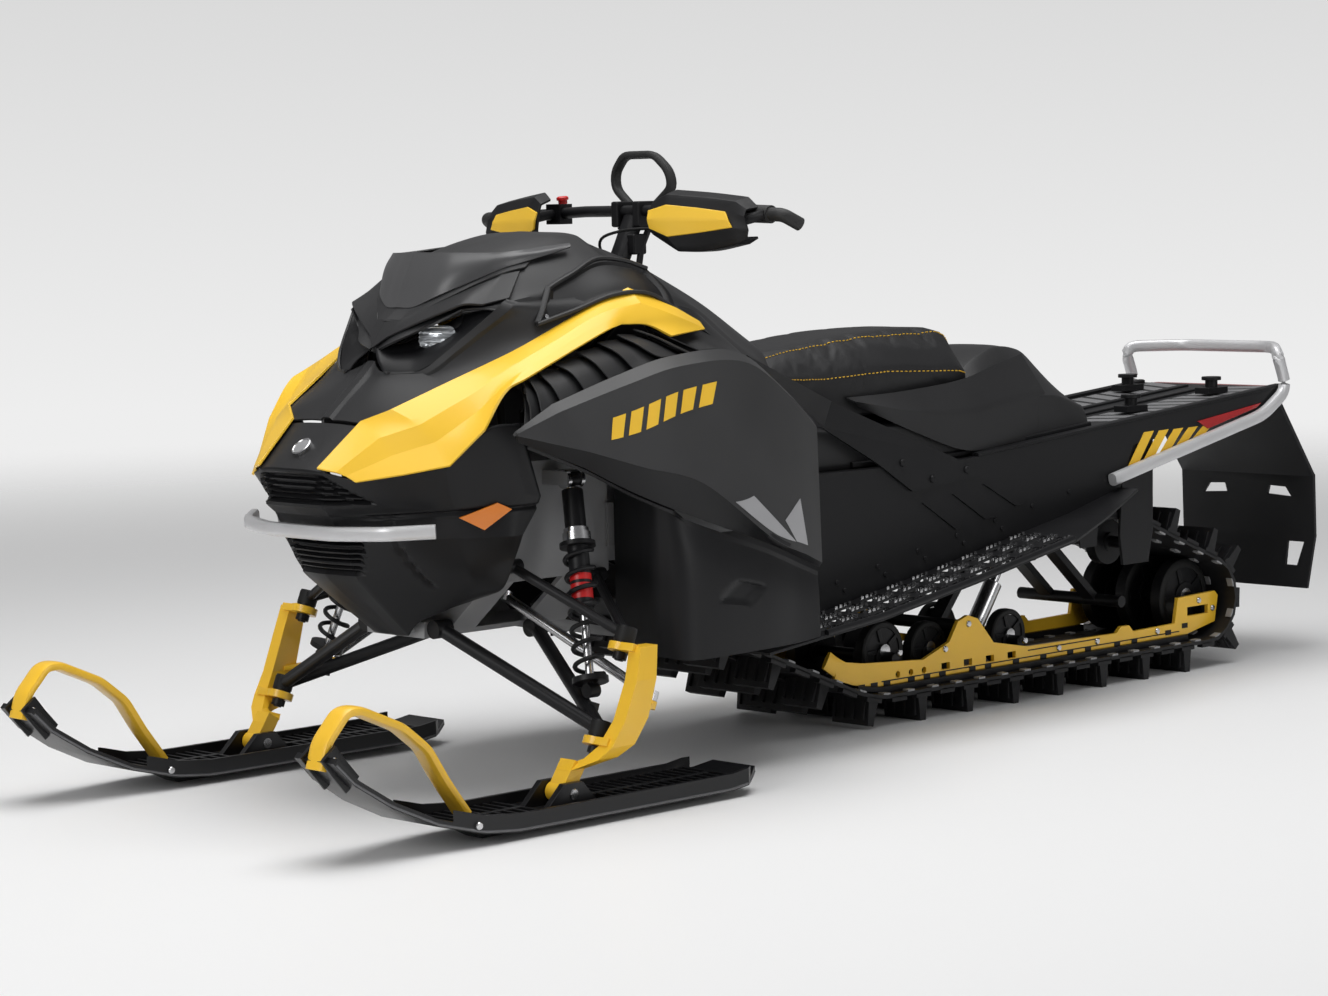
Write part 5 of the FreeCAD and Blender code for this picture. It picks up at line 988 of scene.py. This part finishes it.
def resampled(sheet, u, v):
    """Points of a grid at shares (u down, v along), by straight lines between its own points."""
    rows, columns = np.array(sheet.shape[:2]) - 1
    u, v = np.clip(u, 0, 1) * rows, np.clip(v, 0, 1) * columns
    a, b = np.minimum(u.astype(int), rows - 1), np.minimum(v.astype(int), columns - 1)
    u, v = (u - a)[..., None], (v - b)[..., None]
    return (sheet[a, b] * (1 - u) * (1 - v) + sheet[a + 1, b] * u * (1 - v)
            + sheet[a, b + 1] * (1 - u) * v + sheet[a + 1, b + 1] * u * v)


lift, down = np.meshgrid(np.linspace(0, 1, 5), np.linspace(0, 1, 9), indexing="ij")
for number in range(9):
    along = (number - 0.8 + 1.12 * lift + 1.7 * down) / 9
    slat = pushed(resampled(slats, down, along), 2 + 13 * (1 - lift))
    for side, points in sides_of(slat).items():
        panel("slat_" + side + str(number), points, body_plastic, thick=3, edge=0.8,
              replaces=("vent_louvres",) if (side, number) == ("left", 0) else ())
for side, points in sides_of(pushed(slats, -4)).items():
    panel("slat_bed_" + side, points, dark_plastic, thick=2, edge=0)

# Side covers: large moulded panels, clipped on, each a shoulder with a bevelled upper band and a band
# under its long fold where the moulding turns under; that band is its own piece in darker plastic as
# painted shade. The right one ends further back. Plain slanted bars and a grey chevron are printed on them.
shoulder = skin_points([
    [(46, 398, 684), (-70, 366, 724), (-230, 362, 766), (-366, 366, 795), (-524, 370, 796),
     (-640, 372, 726), (-728, 370, 655)],
    [(43, 401, 680), (-74, 384, 711), (-232, 386, 749), (-367, 392, 777), (-524, 396, 776),
     (-645, 392, 706), (-732, 377, 640)],
    [(41, 400, 676), (-118, 410, 638), (-240, 420, 602), (-384, 426, 562), (-560, 422, 448),
     (-682, 392, 404), (-742, 375, 382)],
    [(34, 390, 664), (-127, 384, 607), (-245, 384, 554), (-391, 388, 498), (-574, 390, 436),
     (-686, 372, 394), (-743, 366, 372)],
], (10, 10), ((1, 2), (1,)))
charcoal = sprayed("charcoal", (0.036, 0.036, 0.037), 0.40, grain=1500.0, bump=0.06, shine=0.35)
cut_columns = {"left": 0, "right": 14}
for side, points in sides_of(shoulder).items():
    panel("side_cover_" + side, points[:21, cut_columns[side]:], charcoal, "dark_plastic", 9, 2.0,
          replaces=("side_panel_" + side,), sharp=16)
    # The band is the same moulding as the cover; its darker plastic is painted shade where the surface turns
    # under.
    panel("painted_shade_band_" + side, points[20:, cut_columns[side]:], dark_plastic, thick=9, edge=2.0, sharp=16)


def printed(name, sheet, shapes, material, lift=0.7):
    """Flat prints on a panel. Each shape has four corners, given as the share down and the share along the
    panel's grid; straight lines fill it, and its points lie a hair above the panel."""
    share = np.linspace(0, 1, 9)
    down, along = np.meshgrid(share, share, indexing="ij")
    weight = np.stack([(1 - down) * (1 - along), (1 - down) * along, down * along, down * (1 - along)], -1)
    parts = []
    for shape in shapes:
        parts.append(resampled(pushed(sheet, lift), *np.moveaxis(weight @ np.array(shape), -1, 0)))
    for side in ("left", "right"):
        own = [part if side == "left" else mirror_side(part)[::-1] for part in parts]
        piece_of(name + "_" + side, mesh_of(name + "_" + side, own), material)


grey_print = sprayed("grey_print", (0.34, 0.34, 0.35), 0.4)
slanted = []
for start in np.arange(0, 6) / 6:
    low = np.array([0.561, 0.254]) + (np.array([0.427, 0.575]) - (0.561, 0.254)) * start
    high = np.array([0.452, 0.278]) + (np.array([0.376, 0.595]) - (0.452, 0.278)) * start
    step_low, step_high = np.array([-0.0155, 0.037]), np.array([-0.009, 0.037])
    slanted.append([high, high + step_high, low + step_low, low])
printed("cover_bars", shoulder, slanted, yellow_print)
chevron = [[(0.604, 0.628), (0.649, 0.774), (0.654, 0.690), (0.654, 0.574)],
           [(0.549, 0.828), (0.645, 0.848), (0.648, 0.777), (0.615, 0.731)]]
printed("cover_chevron", shoulder, chevron, grey_print)

# Side walls: moulded black panels that hang under the covers' shoulders, with a shallow pressed pocket, and
# turn inboard behind the shocks. They are screwed to the tub.
side_wall = skin_points([
    [(4, 380, 650), (-133, 378, 598), (-248, 378, 546), (-392, 383, 489), (-574, 385, 427),
     (-686, 368, 386), (-743, 362, 364)],
    [(-336, 232, 604), (-336, 300, 582), (-338, 352, 540), (-388, 383, 481), (-572, 384, 419),
     (-684, 367, 378), (-743, 361, 356)],
    [(-336, 232, 420), (-336, 298, 410), (-340, 352, 400), (-386, 394, 390), (-566, 394, 350),
     (-683, 374, 320), (-743, 365, 310)],
    [(-338, 230, 252), (-338, 300, 247), (-342, 352, 242), (-384, 396, 236), (-560, 392, 236),
     (-680, 376, 236), (-742, 368, 240)],
], (24, 24), ((1,), ()))
across, along = shares(side_wall)
pocket = np.clip(np.minimum(0.775 - across, across - 0.635) * 60, 0, 1)
pocket = pocket * np.clip((0.036 - np.abs(along - 0.617 + 0.35 * (across - 0.70))) * 90, 0, 1)
for side, points in sides_of(pushed(side_wall, -6 * pocket)).items():
    panel("side_wall_" + side, points[:, 2 * cut_columns[side]:], dark_plastic, "dark_plastic", 6, 2.0,
          sharp=24)

# Rear of the cowl: a moulded panel on each side that closes the corner between cowl, cover and brace,
# held by their edges.
knee = skin_points([
    [(-396, 246, 880), (-452, 250, 884), (-520, 262, 872), (-600, 236, 830), (-672, 214, 772),
     (-716, 206, 712)],
    [(-404, 262, 838), (-470, 286, 838), (-540, 294, 824), (-620, 280, 792), (-684, 256, 740),
     (-722, 240, 684)],
    [(-420, 300, 786), (-500, 330, 800), (-570, 330, 786), (-640, 322, 744), (-700, 306, 700),
     (-732, 290, 650)],
], (8, 8))
for side, points in sides_of(knee).items():
    panel("cowl_knee_" + side, points, body_plastic, thick=4, edge=1)

# Braces: flat bars of black aluminium from the tunnel's sides up to the cowl, with plastic caps over the
# bolts at their feet.
dressed("side_braces", black_coat, 0.0015)
for side, label in sides:
    spots = [(-1240, side * 212, 497), (-1345, side * 212, 508), (-1150, side * 212, 536)]
    heads("brace_bolts_" + label, spots, (0, side, 0), 8, dark_plastic, 5)

# Bumpers: flattened aluminium tube, bent at the corners and sprayed silver. The front one is bolted to
# the tub, the rear one to the tunnel's sides.
silver_paint = sprayed("silver_paint", (0.62, 0.62, 0.63), 0.35, metal=0.35, bump=0.02)
front_run = [(118, 262, 508), (180, 200, 505), (214, 92, 502)]
front_run += [(x, -y, z) for x, y, z in reversed(front_run)]
front_bar = swept(rounded(front_run, 18, 5), 18, 26, power=3.6, steps=20)
built("front_bar", [front_bar], silver_paint, slot="silver_tube", replaces=("front_bumper",))
rear_run = [(-1812, 218, 453), (-2350, 218, 560), (-2440, 218, 612), (-2402, 218, 704), (-2506, 128, 704)]
rear_run += [(x, -y, z) for x, y, z in reversed(rear_run)]
rear_bar = swept(rounded(rear_run, 34, 7), 22, 27, power=3.0, steps=20)
built("rear_bar", [rear_bar], silver_paint, slot="silver_tube", replaces=("rear_bumper",))

# Tail: a lamp with a red lens under the deck's end, red reflectors stuck to its sides, and a moulded
# rubber flap, riveted on, that hangs behind the track.
red_lens = sprayed("red_lens", (0.42, 0.010, 0.012), 0.15, coat=0.5, bump=0.0)
dressed("tail_lamp", red_lens, 0.001)
dressed("rear_reflectors", red_lens, 0.0008)
dressed("snow_flap", track_rubber, 0.001)

# Steering: a post of black steel tubes with a boot at its foot, clamped to a bent black bar with rubber
# grips and moulded switch blocks.
grip_rubber = sprayed("grip_rubber", (0.014, 0.014, 0.014), 0.6, grain=900.0, bump=0.3)
post = [swept([(-624, 0, 1046), (-596, 0, 990), (-566, 0, 934)], 40, 34, power=3, steps=20)]
post += [swept([(-640, y, 1034), (-612, y, 984), (-596, y * 1.2, 934)], 13, 13) for y in (-30, 30)]
post.append(spun([(0, 0), (46, 0), (40, 16), (28, 26), (0, 28)], (-580, 0, 936), (-0.45, 0, 0.9), 24))
built("post_tubes", post, black_coat, "handlebar", replaces=("steering_post",))
clamps = boxes([(-622, y, 1050) for y in (-30, 30)] + [(-626, 0, 1030), (-606, 22, 992)],
               [(48, 20, 50), (48, 20, 50), (30, 74, 22), (34, 26, 40)])
built("bar_clamps", [block_part(clamps)], dark_plastic, "handlebar", edge=0.004)
dressed("handlebar_tube", black_coat, 0.0005)
dressed("grips", grip_rubber, 0.001)
dressed("bar_controls", dark_plastic, 0.004)

# Hand guards: wind deflectors of dark moulded plastic, each with a yellow plate clipped into its face, held
# off the bar by two arms.
guard = skin_points([
    [(-552, 162, 1078), (-562, 188, 1091), (-584, 262, 1084), (-600, 337, 1075), (-600, 362, 1056)],
    [(-526, 159, 1070), (-534, 187, 1083), (-552, 262, 1077), (-568, 337, 1068), (-572, 360, 1053)],
    [(-518, 156, 1056), (-528, 194, 1067), (-544, 263, 1060), (-559, 324, 1052), (-566, 362, 1042)],
    [(-515, 158, 1024), (-521, 204, 1006), (-539, 268, 1013), (-557, 341, 1022), (-567, 370, 1018)],
    [(-520, 164, 1016), (-527, 224, 984), (-544, 280, 984), (-561, 348, 997), (-568, 366, 1006)],
    [(-548, 166, 1018), (-558, 224, 984), (-576, 280, 984), (-592, 346, 996), (-596, 364, 1006)],
], (6, 8), ((1, 2, 3, 4), (1, 3)))
for side, points in sides_of(guard).items():
    panel("guard_" + side, points, dark_plastic, "dark_plastic", 5, 1.5, body="handlebar", sharp=16,
          replaces=("hand_guards",) if side == "left" else ())
plate = skin_points([
    [(-518, 157, 1055), (-529, 194, 1066), (-545, 263, 1059), (-558, 322, 1051)],
    [(-513, 158, 1040), (-523, 198, 1040), (-540, 266, 1038), (-556, 332, 1036)],
    [(-515, 163, 1024), (-522, 204, 1007), (-540, 268, 1014), (-558, 340, 1023)],
], (6, 8), ((1,), (1, 2)))
for side, points in sides_of(pushed(plate, -4)).items():
    panel("guard_plate_" + side, points, yellow_plastic, "yellow_panel", 5, 1.5, body="handlebar", sharp=14,
          replaces=("guard_inserts",) if side == "left" else ())
guard_arms = [swept([(-596, side * 384, 1046), (-590, side * 366, 1042), (-572, side * 350, 1036)], 16, 20)
              for side in (-1, 1)]
guard_arms += [swept([(-612, side * 214, 1052), (-575, side * 205, 1050), (-545, side * 200, 1046)], 16, 20)
               for side in (-1, 1)]
built("guard_arms", guard_arms, dark_plastic, "handlebar")

# Strap, cable and controls: a loop of woven strap over foam that is bolted above the bar, a control cable
# that runs in front of the post, the gauge pod on the cowl and a red stop button on the right block.
half_loop = [(-650, 30, 1062), (-650, 44, 1072), (-652, 80, 1100), (-648, 76, 1132), (-642, 42, 1164)]
loop = half_loop + [(x, -y, z) for x, y, z in reversed(half_loop)]
strap = [swept(rounded(loop, 16, 5), 15, 21, up=(1, 0, 0.2), power=3.0, steps=16)]
built("strap", strap, grip_rubber, "handlebar", slot="strap_cover", replaces=("strap_loop",))
cable_run = [(-585, -46, 960), (-560, -40, 1004), (-548, 40, 1020), (-548, 130, 1024), (-540, 190, 1016)]
cable = [swept(rounded(cable_run, 40, 6), 6, 6)]
built("cable", cable, wheel_rubber, "handlebar")
pod = boxes([(-470, 0, 974)], (84, 128, 30), np.array([[0.94, 0, -0.34], [0, 1, 0], [0.34, 0, 0.94]]))
built("gauge_pod", [block_part(pod)], dark_plastic, edge=0.008, replaces=("dash_gauge",))
button_side = [(0, 0), (9, 0), (9, 7), (12, 8), (12, 13), (9, 15), (0, 15)]
button = [spun(button_side, (-624, -206, 1072), (0.1, 0, 1), 20)]
built("stop_button", button, red_print, "handlebar")

# Studio: a plain pale floor that fades into the backdrop, one broad lamp overhead and two smaller ones
# from the side and the front. The backdrop's shade shows to the camera and through clear pieces only.
floor_colour = bpy.data.materials.new("studio_floor")
nodes, links = nodes_of(floor_colour)
nodes["Principled BSDF"].inputs["Base Color"].default_value = (0.83, 0.83, 0.83, 1)
nodes["Principled BSDF"].inputs["Roughness"].default_value = 0.5
place = nodes.new("ShaderNodeTexCoord")
away = nodes.new("ShaderNodeVectorMath")
away.operation = "LENGTH"
links.new(place.outputs["Object"], away.inputs[0])
fade = nodes.new("ShaderNodeMapRange")
fade.interpolation_type = "SMOOTHSTEP"
fade.inputs["From Min"].default_value = 2.5
fade.inputs["From Max"].default_value = 9.0
links.new(away.outputs["Value"], fade.inputs["Value"])
clear = nodes.new("ShaderNodeBsdfTransparent")
mixed = nodes.new("ShaderNodeMixShader")
links.new(fade.outputs["Result"], mixed.inputs["Fac"])
links.new(nodes["Principled BSDF"].outputs["BSDF"], mixed.inputs[1])
links.new(clear.outputs["BSDF"], mixed.inputs[2])
links.new(mixed.outputs["Shader"], nodes["Material Output"].inputs["Surface"])
floor_mesh = bpy.data.meshes.new("studio_floor")
reach = 12.0
floor_mesh.from_pydata([(-reach, -reach, 0), (reach, -reach, 0), (reach, reach, 0), (-reach, reach, 0)], [],
                       [(0, 1, 2, 3)])
floor_mesh.materials.append(floor_colour)
floor = bpy.data.objects.new("studio_floor", floor_mesh)
bpy.context.scene.collection.objects.link(floor)

world = bpy.data.worlds.new("studio")
bpy.context.scene.world = world
nodes, links = nodes_of(world)
nodes["Background"].inputs["Color"].default_value = (0.90, 0.90, 0.91, 1)
nodes["Background"].inputs["Strength"].default_value = 0.24
backdrop = nodes.new("ShaderNodeBackground")
toward = nodes.new("ShaderNodeTexCoord")
height = nodes.new("ShaderNodeSeparateXYZ")
links.new(toward.outputs["Generated"], height.inputs["Vector"])
shade = nodes.new("ShaderNodeMapRange")
shade.inputs["From Min"].default_value = -0.06
shade.inputs["From Max"].default_value = 0.06
shade.inputs["To Min"].default_value = 0.855
shade.inputs["To Max"].default_value = 0.70
links.new(height.outputs["Z"], shade.inputs["Value"])
links.new(shade.outputs["Result"], backdrop.inputs["Color"])
ray = nodes.new("ShaderNodeLightPath")
seen = nodes.new("ShaderNodeMath")
seen.operation = "MAXIMUM"
links.new(ray.outputs["Is Camera Ray"], seen.inputs[0])
links.new(ray.outputs["Is Transmission Ray"], seen.inputs[1])
choice = nodes.new("ShaderNodeMixShader")
links.new(seen.outputs["Value"], choice.inputs["Fac"])
links.new(nodes["Background"].outputs["Background"], choice.inputs[1])
links.new(backdrop.outputs["Background"], choice.inputs[2])
links.new(choice.outputs["Shader"], nodes["World Output"].inputs["Surface"])


def soft_light(name, place, target, size, watts):
    """A square lamp that faces a target point."""
    lamp = bpy.data.lights.new(name, "AREA")
    lamp.shape = "SQUARE"
    lamp.size = size
    lamp.energy = watts
    item = bpy.data.objects.new(name, lamp)
    bpy.context.scene.collection.objects.link(item)
    item.location = place
    item.rotation_euler = (Vector(target) - Vector(place)).to_track_quat("-Z", "Y").to_euler()


soft_light("overhead", (0.4, 0.2, 5.0), (0, 0, 0), 5.0, 285)
soft_light("side", (-1.2, 6.5, 1.8), (-0.5, 0, 0.3), 2.4, 55)
soft_light("front", (6.0, 0.6, 2.6), (0, 0, 0.6), 2.4, 90)

# Camera: it stands at the front left, a little above the cowl, at the photograph's angle. Yaw, pitch and
# roll are in radians, and the focal length is that of a frame 1328 pixels wide.
eye = np.array([4.98968, 4.87791, 1.09976])
yaw, pitch, roll = -2.33231, 0.090072, -0.022377
ahead = np.array([math.cos(pitch) * math.cos(yaw), math.cos(pitch) * math.sin(yaw), -math.sin(pitch)])
level = unit(np.cross(ahead, (0, 0, 1)))
upward = np.cross(level, ahead)
right = math.cos(roll) * level + math.sin(roll) * upward
above = -math.sin(roll) * level + math.cos(roll) * upward
camera = bpy.data.objects.new("camera", bpy.data.cameras.new("camera"))
bpy.context.scene.collection.objects.link(camera)
sensor, focal_pixels, frame_pixels = 36, 3435.44, 1328
camera.data.sensor_width = sensor
camera.data.lens = sensor * focal_pixels / frame_pixels
camera.matrix_world = Matrix(np.vstack([np.c_[right, above, -ahead, eye], [0, 0, 0, 1]]).tolist())
bpy.context.scene.camera = camera
bpy.context.scene.view_settings.view_transform = "Standard"
